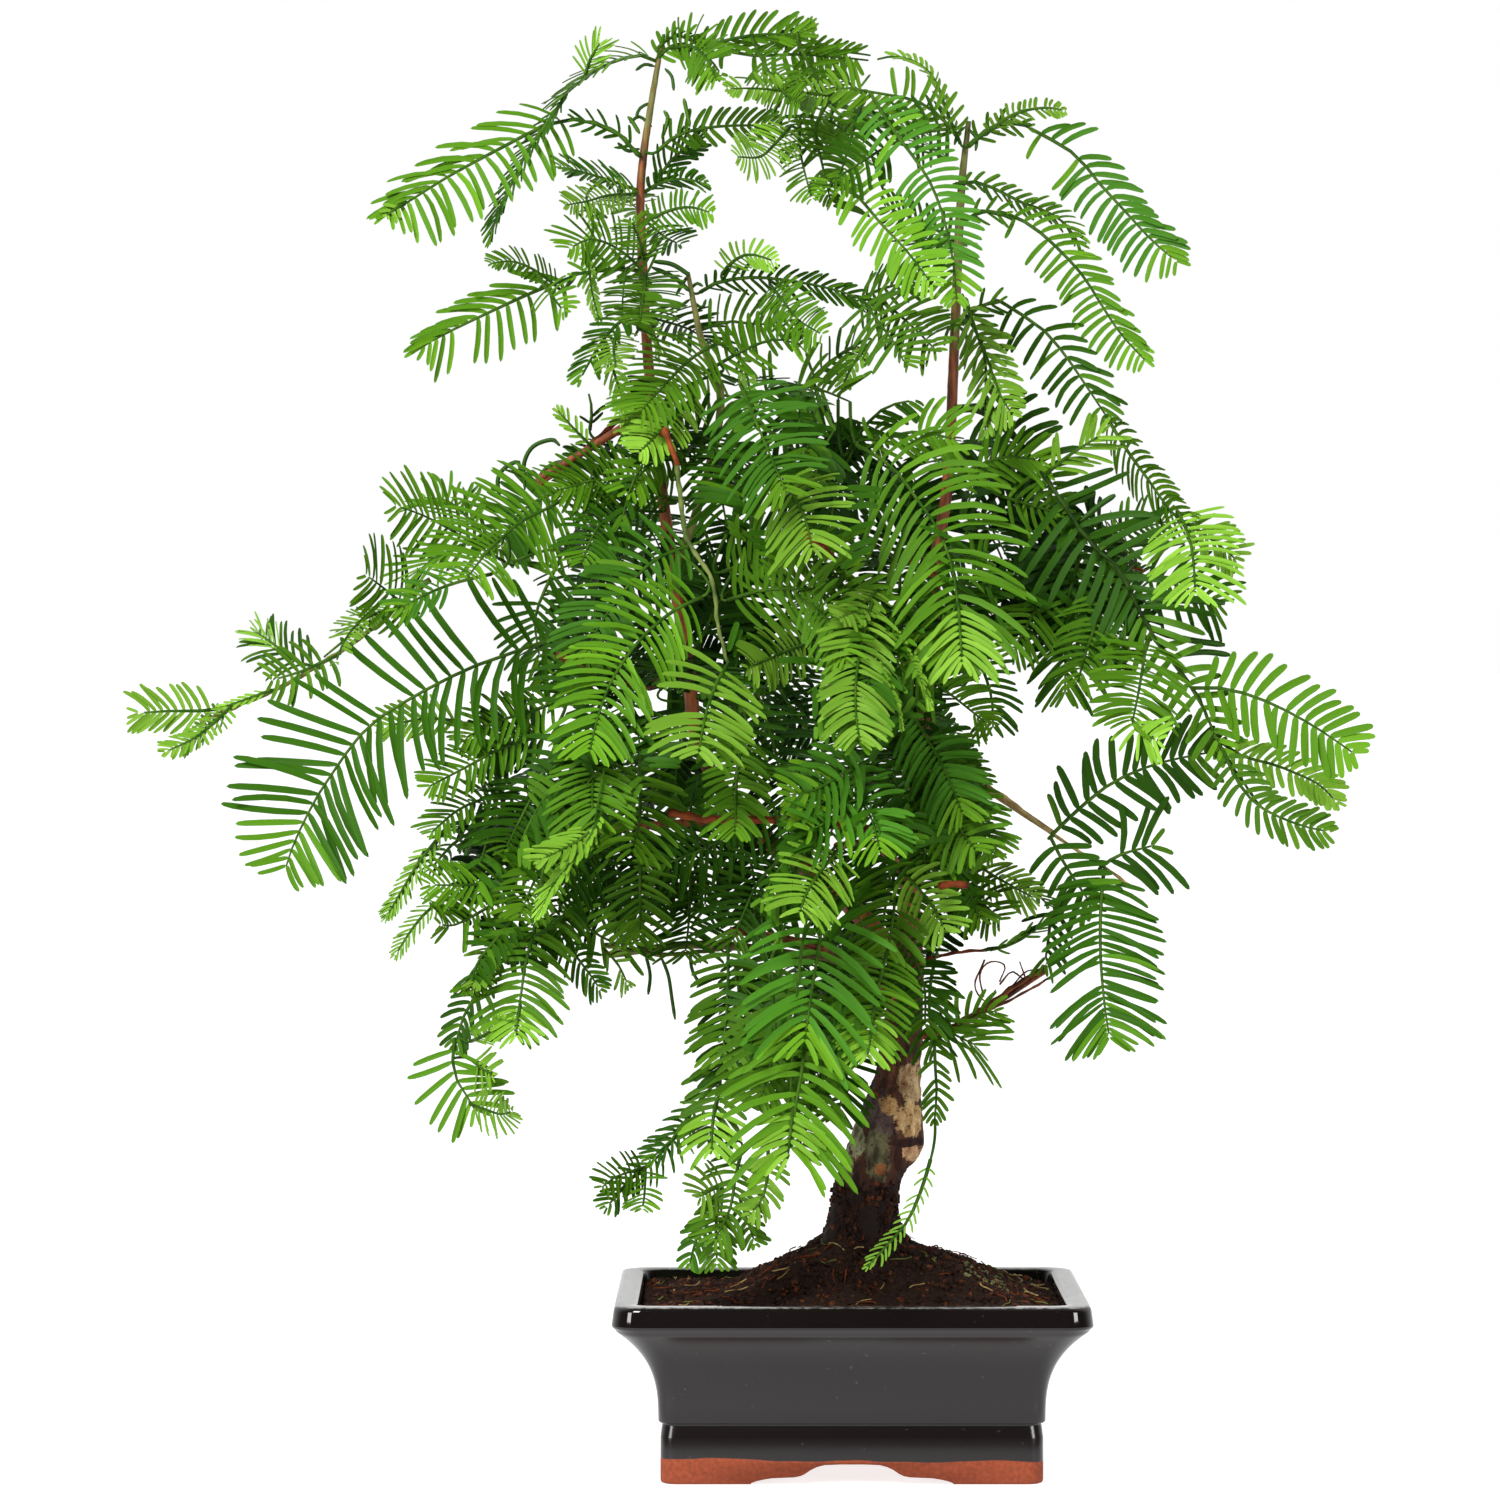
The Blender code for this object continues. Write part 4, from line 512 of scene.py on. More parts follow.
# Patches of the trunk's bark: their middle across and up, half width and half height in
# millimetres, and their darkest and lightest colour
BARK_PATCHES = (
    ((9, 112, 5, 8), (0.03, 0.015, 0.014), (0.12, 0.08, 0.07)),
    ((8.7, 100, 4, 9), (0.03, 0.022, 0.010), (0.15, 0.14, 0.065)),
    ((1.8, 105, 2.6, 7), (0.10, 0.09, 0.04), (0.34, 0.34, 0.19)),
    ((-1.4, 97, 2.4, 6), (0.10, 0.08, 0.04), (0.34, 0.31, 0.17)),
    ((19.4, 122.5, 4.4, 7.5), (0.18, 0.09, 0.035), (0.54, 0.40, 0.21)),
    ((11, 126, 3.6, 4.6), (0.035, 0.012, 0.007), (0.15, 0.055, 0.025)),
    ((18.8, 110.5, 4.6, 5.5), (0.26, 0.12, 0.04), (0.64, 0.46, 0.22)),
    ((12.4, 115.7, 3, 3), (0.16, 0.06, 0.02), (0.50, 0.30, 0.12)),
    ((20.3, 100, 4.6, 2.8), (0.26, 0.12, 0.05), (0.60, 0.38, 0.20)),
    ((9.6, 95.4, 2, 2), (0.14, 0.04, 0.01), (0.34, 0.13, 0.04)),
    ((18.1, 103.4, 6, 1.3), (0.008, 0.002, 0.002), (0.05, 0.012, 0.006)),
    ((15.2, 98.5, 1.4, 5), (0.008, 0.002, 0.002), (0.05, 0.012, 0.006)),
)

# Bare twigs: colour, radius at root and at tip, depth at both, then the points in pixels
BARE_TWIGS = """
red 1.0 0.95 -8 -64 | 652,446 660,438 665,430
red 0.95 0.9 -64 -68 | 665,430 671,447 677,466
sage 0.85 0.55 -68 -88 | 677,466 683,515 690,545 712,580 717,620 727,662
red 0.8 0.7 3 0 | 625,415 590,445 560,470 540,485
red 1.3 1.1 -50 -56 | 668,812 700,818 775,820
red 1.5 1.2 -56 -58 | 802,532 818,545 832,557
red 0.9 0.8 -18 -20 | 895,556 915,565 937,573
red 1.0 0.8 -52 -54 | 645,700 650,725 655,748
red 0.9 0.8 -16 -18 | 690,640 685,660 680,680
red 1.2 1.1 -62 -64 | 940,886 955,884 968,886
red 0.7 0.5 -8 -14 | 903,977 920,962 950,954 985,950
green 0.8 0.6 -2 -8 | 641,158 630,147 622,138 600,126 572,121
green 0.8 0.6 0 -8 | 644,273 622,270 600,272 572,275
green 0.8 0.6 -3 -9 | 968,148 985,133 1005,124 1030,126
green 0.8 0.6 -3 -8 | 962,222 985,212 1012,219
green 0.8 0.6 -5 -9 | 962,325 978,308 1000,302
green 0.6 0.4 -14 -15 | 985,950 1020,940 1060,910 1075,895
dry 1.0 0.7 -4 -14 | 948,1030 985,1008 1018,985 1045,967
dry 0.5 0.4 -6 -14 | 972,1018 1005,1003 1030,990 1050,978
dry 0.32 0.24 -8 -12 | 984,997 980,975 990,962 1005,966 1000,982
dry 0.32 0.24 -8 -12 | 1000,985 1012,972 1025,980 1020,962
dry 0.32 0.24 -8 -12 | 985,960 975,985 986,1002 996,990
dry 0.32 0.24 -8 -12 | 1010,990 1026,972 1040,970
tan 0.6 0.5 -14 -22 | 985,785 1010,800 1050,832 1105,868 1130,885
dark 0.8 0.6 -8 -32 | 955,407 990,408 1010,430 1040,470 1070,515 1095,548 1115,565 1130,590
dark 0.6 0.45 -30 -32 | 1130,590 1150,630 1180,670 1200,700 1215,735 1235,770 1262,808
olive 0.9 0.6 -6 -20 | 430,580 400,605 350,645 285,685 240,705 200,722
olive 0.9 0.6 -14 -16 | 605,945 660,955 720,950
dark 0.5 0.4 -22 -24 | 700,775 692,800 693,830 715,855
red 0.5 0.4 0 -4 | 1100,565 1125,566 1145,571
red 0.4 0.3 0 -4 | 1032,598 1020,618 1005,640
red 0.9 0.8 -7 -12 | 877,1096 870,1092 866,1087
"""

# Needles that stand alone: tint, width, depth, then the points in pixels
LONE_NEEDLES = """
d 1.9 -14 | 1068,505 1080,500 1095,493
d 1.9 -16 | 1080,522 1100,505 1115,495
d 2.0 -18 | 1090,535 1115,528 1140,523
d 2.0 -18 | 1095,548 1130,545 1160,540
d 2.4 -28 | 1145,603 1185,600 1225,603
d 2.0 -28 | 1155,632 1190,640 1225,645
d 1.9 -29 | 1175,655 1205,652 1230,655
d 1.4 0 | 500,500 498,480 505,468 518,462 520,470
d 1.4 2 | 525,490 524,465 533,447 552,440 560,446
d 1.4 4 | 532,492 545,470 562,462 575,470
d 1.4 -20 | 430,866 436,842 450,826 470,820
d 1.1 -16 | 660,955 668,975 672,1000 675,1020
d 1.1 -16 | 645,953 650,975 648,995
d 1.1 -16 | 690,952 692,970 700,985
d 1.05 0 | 655,68 645,66 636,72
d 1.05 0 | 665,70 672,78 674,92
d 1.05 0 | 650,104 640,110 636,120
d 1.05 0 | 652,128 640,118 630,124
m 1.3 -2 | 640,135 632,122 628,118
m 1.3 0 | 690,128 688,118 684,100
m 1.3 0 | 662,140 668,120 664,112
d 1.2 0 | 640,150 628,152 618,144
d 1.05 -2 | 688,276 682,286 676,296
d 1.05 -2 | 690,300 680,306 670,302
d 1.05 -2 | 692,302 702,308 706,300
d 1.05 -2 | 690,290 697,284 703,287
d 1.05 -2 | 965,128 958,134 954,146
d 1.05 -2 | 968,130 976,140 975,152
d 1.05 -2 | 955,322 947,332 944,346
d 1.05 -2 | 958,326 966,336 966,350
d 1.5 -4 | 652,262 672,265 690,276
d 1.5 -4 | 652,268 674,278 690,292
l 1.2 -10 | 955,412 968,410 985,405
"""
TWIG_COLOURS = {
    "green": ((0.016, 0.060, 0.003), (0.045, 0.105, 0.008)),
    "olive": ((0.07, 0.09, 0.015), (0.17, 0.18, 0.04)),
    "red": ((0.05, 0.009, 0.004), (0.18, 0.040, 0.010)),
    "dry": ((0.06, 0.018, 0.008), (0.22, 0.075, 0.030)),
    "tan": ((0.22, 0.14, 0.05), (0.46, 0.33, 0.13)),
    "dark": ((0.008, 0.024, 0.003), (0.024, 0.055, 0.007)),
    "sage": ((0.040, 0.065, 0.012), (0.12, 0.15, 0.04)),
}

# Where the sky shows through the crown: middle, half width and half height in pixels
SKY = (
    (962, 714, 20, 20), (888, 396, 34, 20), (842, 402, 14, 14), (715, 537, 12, 8),
    (765, 525, 8, 8), (1005, 550, 16, 18), (655, 700, 12, 12), (718, 643, 14, 8),
    (635, 742, 10, 7), (462, 590, 20, 10), (535, 588, 20, 12), (967, 437, 14, 9),
    (1045, 165, 16, 14), (820, 165, 10, 14), (740, 70, 12, 12), (872, 62, 16, 12),
    (625, 972, 14, 10), (452, 965, 9, 26), (330, 652, 16, 12),
    (1026, 950, 12, 16), (1048, 1012, 12, 12), (795, 1160, 10, 12), (1018, 250, 12, 12),
    (900, 170, 12, 14), (790, 365, 12, 12), (1075, 435, 14, 8), (1110, 505, 12, 6),
    (1110, 825, 10, 10), (545, 325, 10, 16), (590, 395, 10, 22), (855, 760, 7, 9),
)

# Side of a cell of the view in pixels, where the foremost placed needle is kept in mind
CELL = 6

# Where the crown is dense, as outlines in the photograph's pixels
DENSE = (
    "575,500 610,440 640,400 690,350 760,345 815,395 850,430 960,445 1010,445 1060,500 "
    "1130,540 1140,600 1140,650 1105,680 1060,665 1005,640 960,660 935,700 950,760 980,850 "
    "970,920 930,950 900,1000 860,1050 835,1110 800,1130 760,1120 740,1050 725,980 700,925 "
    "660,915 600,900 560,930 520,960 480,950 450,900 455,850 455,800 470,750 520,700 "
    "575,640 570,560",
    "760,80 860,90 920,130 940,250 925,300 890,260 850,190 790,140",
    "610,180 660,180 672,240 665,330 610,370 600,300",
)


# Materials

def new_material(name, roughness):
    finish = bpy.data.materials.new(name)
    finish.use_nodes = True
    shader = finish.node_tree.nodes["Principled BSDF"]
    shader.inputs["Roughness"].default_value = roughness
    return finish, finish.node_tree, shader


def noise_node(tree, scale, detail=4.0, roughness=0.55, stretch=None):
    """A noise texture in object coordinates, stretched along an axis where asked."""
    place = tree.nodes.new("ShaderNodeTexCoord")
    texture = tree.nodes.new("ShaderNodeTexNoise")
    texture.inputs["Scale"].default_value = scale
    texture.inputs["Detail"].default_value = detail
    texture.inputs["Roughness"].default_value = roughness
    if stretch:
        mapping = tree.nodes.new("ShaderNodeMapping")
        mapping.inputs["Scale"].default_value = stretch
        tree.links.new(place.outputs["Object"], mapping.inputs["Vector"])
        tree.links.new(mapping.outputs["Vector"], texture.inputs["Vector"])
    else:
        tree.links.new(place.outputs["Object"], texture.inputs["Vector"])
    return texture.outputs["Fac"]


def ramp_node(tree, source, stops, steps=False):
    ramp = tree.nodes.new("ShaderNodeValToRGB")
    if steps:
        ramp.color_ramp.interpolation = "CONSTANT"
    elements = ramp.color_ramp.elements
    while len(elements) < len(stops):
        elements.new(0.5)
    for element, (position, colour) in zip(elements, stops):
        element.position = position
        element.color = (*colour, 1)
    tree.links.new(source, ramp.inputs["Fac"])
    return ramp.outputs["Color"]


def grey(value):
    return (value, value, value)


def mix_node(tree, factor, first, second):
    """Mix two colours, each a socket or a plain colour, by a socket."""
    mix = tree.nodes.new("ShaderNodeMix")
    mix.data_type = "RGBA"
    tree.links.new(factor, mix.inputs["Factor"])
    for socket, value in (("A", first), ("B", second)):
        target = [entry for entry in mix.inputs if entry.name == socket and entry.type == "RGBA"][0]
        if isinstance(value, tuple):
            target.default_value = (*value, 1)
        else:
            tree.links.new(value, target)
    return [entry for entry in mix.outputs if entry.type == "RGBA"][0]


def bump_node(tree, shader, height, strength, distance):
    bump = tree.nodes.new("ShaderNodeBump")
    bump.inputs["Strength"].default_value = strength
    bump.inputs["Distance"].default_value = distance
    tree.links.new(height, bump.inputs["Height"])
    tree.links.new(bump.outputs["Normal"], shader.inputs["Normal"])


def position_nodes(tree):
    """Height and the other object coordinates as sockets."""
    place = tree.nodes.new("ShaderNodeTexCoord")
    split = tree.nodes.new("ShaderNodeSeparateXYZ")
    tree.links.new(place.outputs["Object"], split.inputs["Vector"])
    return split.outputs


def math_node(tree, operation, first, second=0.0):
    node = tree.nodes.new("ShaderNodeMath")
    node.operation = operation
    for socket, value in zip(node.inputs, (first, second)):
        if isinstance(value, (int, float)):
            socket.default_value = value
        else:
            tree.links.new(value, socket)
    return node.outputs["Value"]


def range_node(tree, value, low, high):
    """A value carried from a range onto 0 to 1."""
    node = tree.nodes.new("ShaderNodeMapRange")
    node.inputs["From Min"].default_value = low
    node.inputs["From Max"].default_value = high
    tree.links.new(value, node.inputs["Value"])
    return node.outputs["Result"]


# Meshes

def add_piece(name, points, faces, finish, replaced=(), smooth=True):
    """A piece of the plant from points in millimetres, riding on the one body."""
    mesh = bpy.data.meshes.new(name)
    placed = np.asarray(points, float) * MM + MIDDLE
    mesh.from_pydata(placed.tolist(), [], faces if isinstance(faces, list) else faces.tolist())
    finishes = finish if isinstance(finish, (list, tuple)) else [finish]
    for each in finishes:
        mesh.materials.append(each)
    if smooth:
        mesh.shade_smooth()
    thing = bpy.data.objects.new(name, mesh)
    bpy.context.scene.collection.objects.link(thing)
    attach(thing, "root")
    if replaced:
        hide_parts(*replaced)
    return thing


def unit(vectors):
    return vectors / np.maximum(np.linalg.norm(vectors, axis=-1, keepdims=True), 1e-9)


def even_curve(path, step, ease=0.0):
    """Points along a smooth curve through a path, evenly or closer together to its end."""
    path = np.asarray(path, float)
    rows = np.vstack([2 * path[0] - path[1], path, 2 * path[-1] - path[-2]])
    t = np.linspace(0, 1, 9)[:-1, None]
    parts = [0.5 * (2 * b + (c - a) * t + (2 * a - 5 * b + 4 * c - d) * t ** 2
                    + (3 * b - a - 3 * c + d) * t ** 3)
             for a, b, c, d in zip(rows, rows[1:], rows[2:], rows[3:])]
    fine = np.vstack(parts + [path[-1:]])
    steps = np.linalg.norm(np.diff(fine[:, :3], axis=0), axis=1)
    run = np.concatenate([[0], np.cumsum(steps)])
    share = np.linspace(0, 1, max(3, round(run[-1] / step)) + 1)
    marks = run[-1] * (share + ease * share * (1 - share))
    return np.stack([np.interp(marks, run, column) for column in fine.T], 1)


class Heap:
    """Many small meshes gathered into one piece."""

    def __init__(self):
        self.points = []
        self.faces = []
        self.count = 0

    def add(self, points, faces):
        self.points.append(points)
        self.faces.extend((np.asarray(faces) + self.count).tolist())
        self.count += len(points)


def tube(line, radii, sides, heap):
    """A tapering twig along a line, closed at both ends."""
    tangent = unit(np.gradient(line, axis=0))
    across = np.cross(tangent, (0.31, 0.87, 0.38))
    across = unit(across)
    over = np.cross(tangent, across)
    turns = np.arange(sides) * 2 * np.pi / sides
    ring = (across[:, None] * np.cos(turns)[None, :, None]
            + over[:, None] * np.sin(turns)[None, :, None])
    points = line[:, None] + ring * np.asarray(radii)[:, None, None]
    points = points.reshape(-1, 3)
    quads = []
    for row in range(len(line) - 1):
        for side in range(sides):
            a = row * sides + side
            b = row * sides + (side + 1) % sides
            quads.append((a, b, b + sides, a + sides))
    heap.points.append(points)
    base = heap.count
    heap.faces.extend([tuple(base + n for n in quad) for quad in quads])
    last = base + (len(line) - 1) * sides
    heap.faces.append(tuple(base + n for n in range(sides - 1, -1, -1)))
    heap.faces.append(tuple(last + n for n in range(sides)))
    heap.count += len(points)


# Limbs

def smooth_rows(rows, step):
    """Even stations of x, y, z, radius along a limb."""
    return even_curve(np.asarray(rows, float), step)


def line_point(stations, height):
    """The point on a rising limb's centre line at a height."""
    for low, high in zip(stations, stations[1:]):
        if low[2] <= height <= high[2]:
            return low + (high - low) * (height - low[2]) / (high[2] - low[2])
    return stations[-1]


LINES = {"trunk": smooth_rows(TRUNK, 2)}
for limb, rows in LEADERS.items():
    LINES[limb] = smooth_rows(rows, 2)
for limb, (carrier, height, radius, rows) in BOUGHS.items():
    root = line_point(LINES[carrier], height)
    LINES[limb] = smooth_rows(((*root[:3], radius), *rows), 2)
LIMB_POINTS = np.vstack(list(LINES.values()))


def mound(x, y):
    """Height of the soil at a place in the pot, heaped against the trunk."""
    seat_x, seat_y = TRUNK[0][:2]
    edge_x = POT_WIDTH / 2 - RIM_WALL - GAP
    edge_y = POT_DEPTH / 2 - RIM_WALL - GAP
    off_x, off_y = x - seat_x, y - seat_y
    away = np.hypot(off_x, off_y)
    reach = np.minimum(
        np.where(off_x > 0, edge_x - seat_x, edge_x + seat_x) / np.maximum(abs(off_x / away), 1e-6),
        edge_y / np.maximum(abs(off_y / away), 1e-6))
    share = np.clip((reach - away) / np.maximum(reach - MOUND_SEAT, 1e-6), 0, 1)
    height = SOIL_EDGE + (MOUND_TOP - SOIL_EDGE) * (3 * share ** 2 - 2 * share ** 3)
    heap = 5.5 * np.clip(1 - (away - 12.5) / 10, 0, 1) ** 1.5
    dip = 5.4 * np.exp(-((x + 34) / 14) ** 2)
    return np.maximum(height + heap - dip, SOIL_EDGE - 0.5)


# Foliage

NEEDLES = {(tint, shade): [] for tint in TINTS for shade in range(len(SHADES))}
HEAPS = {colour: Heap() for colour in TWIG_COLOURS}
TWIGS = HEAPS["green"]
SHOOT_LINES = []
LONE = {tint: Heap() for tint in "dml"}


def view_point(points):
    """Where points show in the photograph, in pixels."""
    scale = PIXEL * (1 - points[:, 1] / EYE[1])
    return np.stack([LEVEL[0] + (points[:, 0] - EYE[0]) / scale,
                     LEVEL[1] - (points[:, 2] - EYE[2]) / scale], 1)


def inside(points, outline):
    """Which points lie in an outline."""
    odd = np.zeros(len(points), bool)
    for (ax, ay), (bx, by) in zip(outline, outline[1:] + outline[:1]):
        spans = (ay > points[:, 1]) != (by > points[:, 1])
        cross = ax + (points[:, 1] - ay) * (bx - ax) / ((by - ay) or 1e-9)
        odd ^= spans & (points[:, 0] < cross)
    return odd


def is_sky(points):
    """Which points show where the photograph has a gap in the crown."""
    seen = view_point(points)
    return np.any([((seen[:, 0] - x) / wide) ** 2 + ((seen[:, 1] - y) / high) ** 2 < 1
                   for x, y, wide, high in SKY], axis=0)


FRONT = np.full((1500 // CELL + 3, 1500 // CELL + 3), 1000.0)


def view_cells(points):
    seen = np.clip(view_point(points) / CELL + 1, 1, len(FRONT) - 2).astype(int)
    return seen[:, 1], seen[:, 0]


def mark_front(points):
    """Keep in mind how far forward placed needles stand in each cell of the view."""
    np.minimum.at(FRONT, view_cells(points), points[:, 1])


def is_behind(points):
    """Which points hide no placed needle from the viewer."""
    down, across = view_cells(points)
    nearest = np.min([FRONT[down + y, across + x] for y in (-1, 0, 1) for x in (-1, 0, 1)], axis=0)
    return (nearest > 900) | (points[:, 1] > nearest + 2)


def is_dense(points):
    seen = view_point(points)
    return np.any([inside(seen, pixel_points(outline)) for outline in DENSE], axis=0)


def is_free(points):
    """Which points keep clear of the limbs, the soil and the pot."""
    gaps = np.linalg.norm(points[:, None] - LIMB_POINTS[None, :, :3], axis=2) - LIMB_POINTS[None, :, 3]
    free = gaps.min(1) > 0.4
    over_pot = (abs(points[:, 0]) < POT_WIDTH / 2 + 1) & (abs(points[:, 1]) < POT_DEPTH / 2 + 1)
    low = points[:, 2] < np.maximum(POT_HEIGHT, mound(points[:, 0], points[:, 1])) + 1.5
    return free & ~(over_pot & low) & (points[:, 2] > POT_HEIGHT)


def add_spray(path, tint, across, angle, lean, length, width, spacing, curve, dice, kept=False,
              stem=0.66):
    """A twig along a path with two rows of needles, which leave it along `across`."""
    line = even_curve(path, spacing, 0.25)
    count = len(line)
    share = np.linspace(0, 1, count)
    tangent = unit(np.gradient(line, axis=0))
    across = across(tangent) if callable(across) else np.tile(across, (count, 1))
    across = unit(across - tangent * np.sum(across * tangent, 1, keepdims=True))
    facing = np.cross(across, tangent)
    facing *= np.where(facing @ np.array((0, -0.7, 0.7)) < 0, -1, 1)[:, None]
    profile = np.minimum(1, 0.62 + 2.4 * share) * np.minimum(1, 0.38 + 3.2 * (1 - share))
    shade = int(dice.integers(len(SHADES)))
    for hand in (-1, 1):
        turn = np.radians(angle + hand * lean + 13 - 24 * share - 12 * share ** 6
                          + dice.normal(0, 4.5, count))
        way = (tangent * np.cos(turn)[:, None] + hand * across * np.sin(turn)[:, None]
               + facing * dice.normal(0.06, 0.06, count)[:, None])
        way = unit(way)
        reach = length * profile * dice.normal(1, 0.06, count)
        side = unit(np.cross(facing, way))
        up = np.cross(way, side)
        roll = dice.normal(0, 0.2, count)[:, None]
        side, up = side * np.cos(roll) + up * np.sin(roll), up * np.cos(roll) - side * np.sin(roll)
        bend = (tangent * (curve + dice.normal(0, 0.07, count))[:, None]
                + np.array((0, 0, -0.006)) * reach[:, None])
        root = line + hand * across * 0.25
        tips = root + way * reach[:, None]
        middles = root + (way - bend * 0.5) * reach[:, None] * 0.5
        shown = (share > 0.03) & (dice.random(count) > 0.02)
        shown &= is_free(tips) & is_free(middles) & ~is_sky(tips) & ~is_sky(middles)
        if kept:
            shown &= is_dense(tips) & is_behind(tips) & is_behind(middles)
        else:
            mark_front(np.vstack([root, middles, tips])[np.tile(shown, 3)])
        draw = dice.random(count)
        young = shown & ((share > 0.84) | (draw > 0.94))
        old = shown & ~young
        for chosen, colour in ((old, tint), (young, YOUNGER[tint])):
            if chosen.any():
                broad = width * (0.6 + 0.4 * reach / length)
                rows = np.hstack([root, way, side, up, bend, reach[:, None],
                                  broad[:, None]])[chosen]
                NEEDLES[colour, shade].append(rows)
    radii = np.interp(share, (0, 1), (stem, 0.32))
    if kept:
        covered = np.flatnonzero(is_dense(line) & ~is_sky(line) & is_behind(line))
        if len(covered) < count / 2:
            return
        line, radii = (part[covered[0]:covered[-1] + 1] for part in (line, radii))
        SHOOT_LINES.append(line)
    stride = 2 if len(line) > 6 else 1
    tube(line[::stride], radii[::stride], 4, TWIGS)


def facing_viewer(turn):
    """Needles of a listed spray spread in the view's plane, turned away by an angle."""
    swing = math.radians(turn)

    def across(tangent):
        deep = np.array((0.0, 1.0, 0.0))
        level = unit(np.cross(deep, tangent))
        away = unit(deep - tangent * (tangent @ deep)[:, None])
        return level * math.cos(swing) + away * math.sin(swing)
    return across


def from_view(places, near, far):
    """Points from the photograph's pixels, their depth running from near to far."""
    depths = np.linspace(near, far, len(places))
    points = []
    for (across, down), depth in zip(places, depths):
        scale = PIXEL * (1 - depth / EYE[1])
        points.append((EYE[0] + (across - LEVEL[0]) * scale, depth,
                       EYE[2] + (LEVEL[1] - down) * scale))
    return np.array(points)


def pixel_points(text):
    return [tuple(float(part) for part in place.split(",")) for place in text.split()]


def placed_sprays():
    """The sprays of the table; gives back the line of each one's twig."""
    sprays = []
    for table in SPRAYS.values():
        for row in table.strip().splitlines():
            looks, places = row.split(" | ")
            tint, *numbers = looks.split()
            turn, angle, lean, length, width, spacing, curve, near, far = map(float, numbers)
            path = from_view(pixel_points(places), near, far)
            dice = np.random.default_rng(len(sprays))
            add_spray(path, tint, facing_viewer(turn), angle, lean, length * PIXEL, width * PIXEL,
                      spacing * PIXEL, curve, dice)
            sprays.append(path)
    return [even_curve(path, 3) for path in sprays]


def hang_twigs(lines):
    """Twigs that carry each line from the nearest limb, or from a line already carried."""
    carried = [LIMB_POINTS[:, :3]] + SHOOT_LINES
    carried = np.vstack(carried)
    roots = np.array([line[0] for line in lines])
    gaps = np.linalg.norm(roots[:, None] - carried[None], axis=2)
    nearest = gaps.argmin(1)
    spots = carried[nearest]
    gaps = gaps.min(1)
    waiting = set(range(len(lines)))
    while waiting:
        chosen = min(waiting, key=lambda index: gaps[index])
        waiting.remove(chosen)
        line = lines[chosen]
        if gaps[chosen] > 0.6:
            bend = line[0] + unit(line[0] - line[1]) * min(gaps[chosen] * 0.5, 20)
            share = np.linspace(0, 1, 9)[:, None]
            path = (spots[chosen] * (1 - share) ** 2 + bend * 2 * share * (1 - share)
                    + line[0] * share ** 2)
            tube(path, np.linspace(0.6, 0.42, len(path)), 4, TWIGS)
            line = np.vstack([path, line])
        for index in waiting:
            reach = np.linalg.norm(line - roots[index], axis=1)
            if reach.min() < gaps[index]:
                gaps[index] = reach.min()
                spots[index] = line[reach.argmin()]


class Shoot:
    """A bent shoot of the solids, with the side its needles leave from."""

    def __init__(self, root, bend, tip, across, reach):
        self.root, self.bend, self.tip = root, bend, tip
        self.across = across
        self.reach = reach

    def point(self, t):
        return self.root * (1 - t) ** 2 + self.bend * 2 * t * (1 - t) + self.tip * t ** 2

    def frame(self, t):
        tangent = ((self.bend - self.root) * (1 - t) + (self.tip - self.bend) * t).normalized()
        sideways = (self.across - tangent * self.across.dot(tangent)).normalized()
        return tangent, sideways, sideways.cross(tangent)

    def path(self):
        return [tuple(self.point(step / 6)) for step in range(7)]


def main_shoot(row, root):
    tip, rise, out, roll, needle = Vector(row[2]), row[3], row[4], row[5], row[8]
    level = Vector((tip.x - root.x, tip.y - root.y, 0))
    bend = root + level * out + UP * rise
    across = level.cross(UP).normalized()
    if level.length > 5:
        across = Matrix.Rotation(math.radians(roll), 3, (tip - root).normalized()) @ across
    return Shoot(root, bend, tip, across, needle)


def side_shoot(main, place, heading, length, droop, reach):
    root = main.point(place)
    tip = root + (heading * (1 - droop) - UP * droop).normalized() * length
    bend = root + heading * length * 0.5
    facing = main.frame(place)[2]
    return Shoot(root, bend, tip, facing.cross(heading).normalized(), reach)


def shoots_of(row, main, dice):
    """The main shoot, its opposite pairs and its extra shoots, as the solids have them."""
    pairs, length, needle = row[6], row[7], row[8]
    shoots = [main]
    for index in range(pairs):
        place = PAIR_FIRST + PAIR_SPAN * index / max(pairs - 1, 1) + dice.uniform(-0.03, 0.03)
        tangent, sideways, facing = main.frame(place)
        for hand in (-1, 1):
            angle = math.radians(dice.uniform(48, 60))
            heading = tangent * math.cos(angle) + sideways * hand * math.sin(angle)
            heading = (heading + facing * dice.uniform(0.05, 0.25)).normalized()
            grown = length * (1.08 - 0.3 * place) * dice.uniform(0.9, 1.1)
            shoots.append(side_shoot(main, place, heading, grown, dice.uniform(0.15, 0.4),
                                     needle * 0.85))
    for place, tip in row[9:]:
        root = main.point(place)
        tip = Vector(tip)
        level = Vector((tip.x - root.x, tip.y - root.y, 0))
        bend = root + level * 0.6 + UP * (2 + max(0, tip.z - root.z) * 0.7)
        across = (tip - root).cross(Vector((0.2, 1, 0.3))).normalized()
        shoots.append(Shoot(root, bend, tip, across, needle * 0.9))
    return shoots


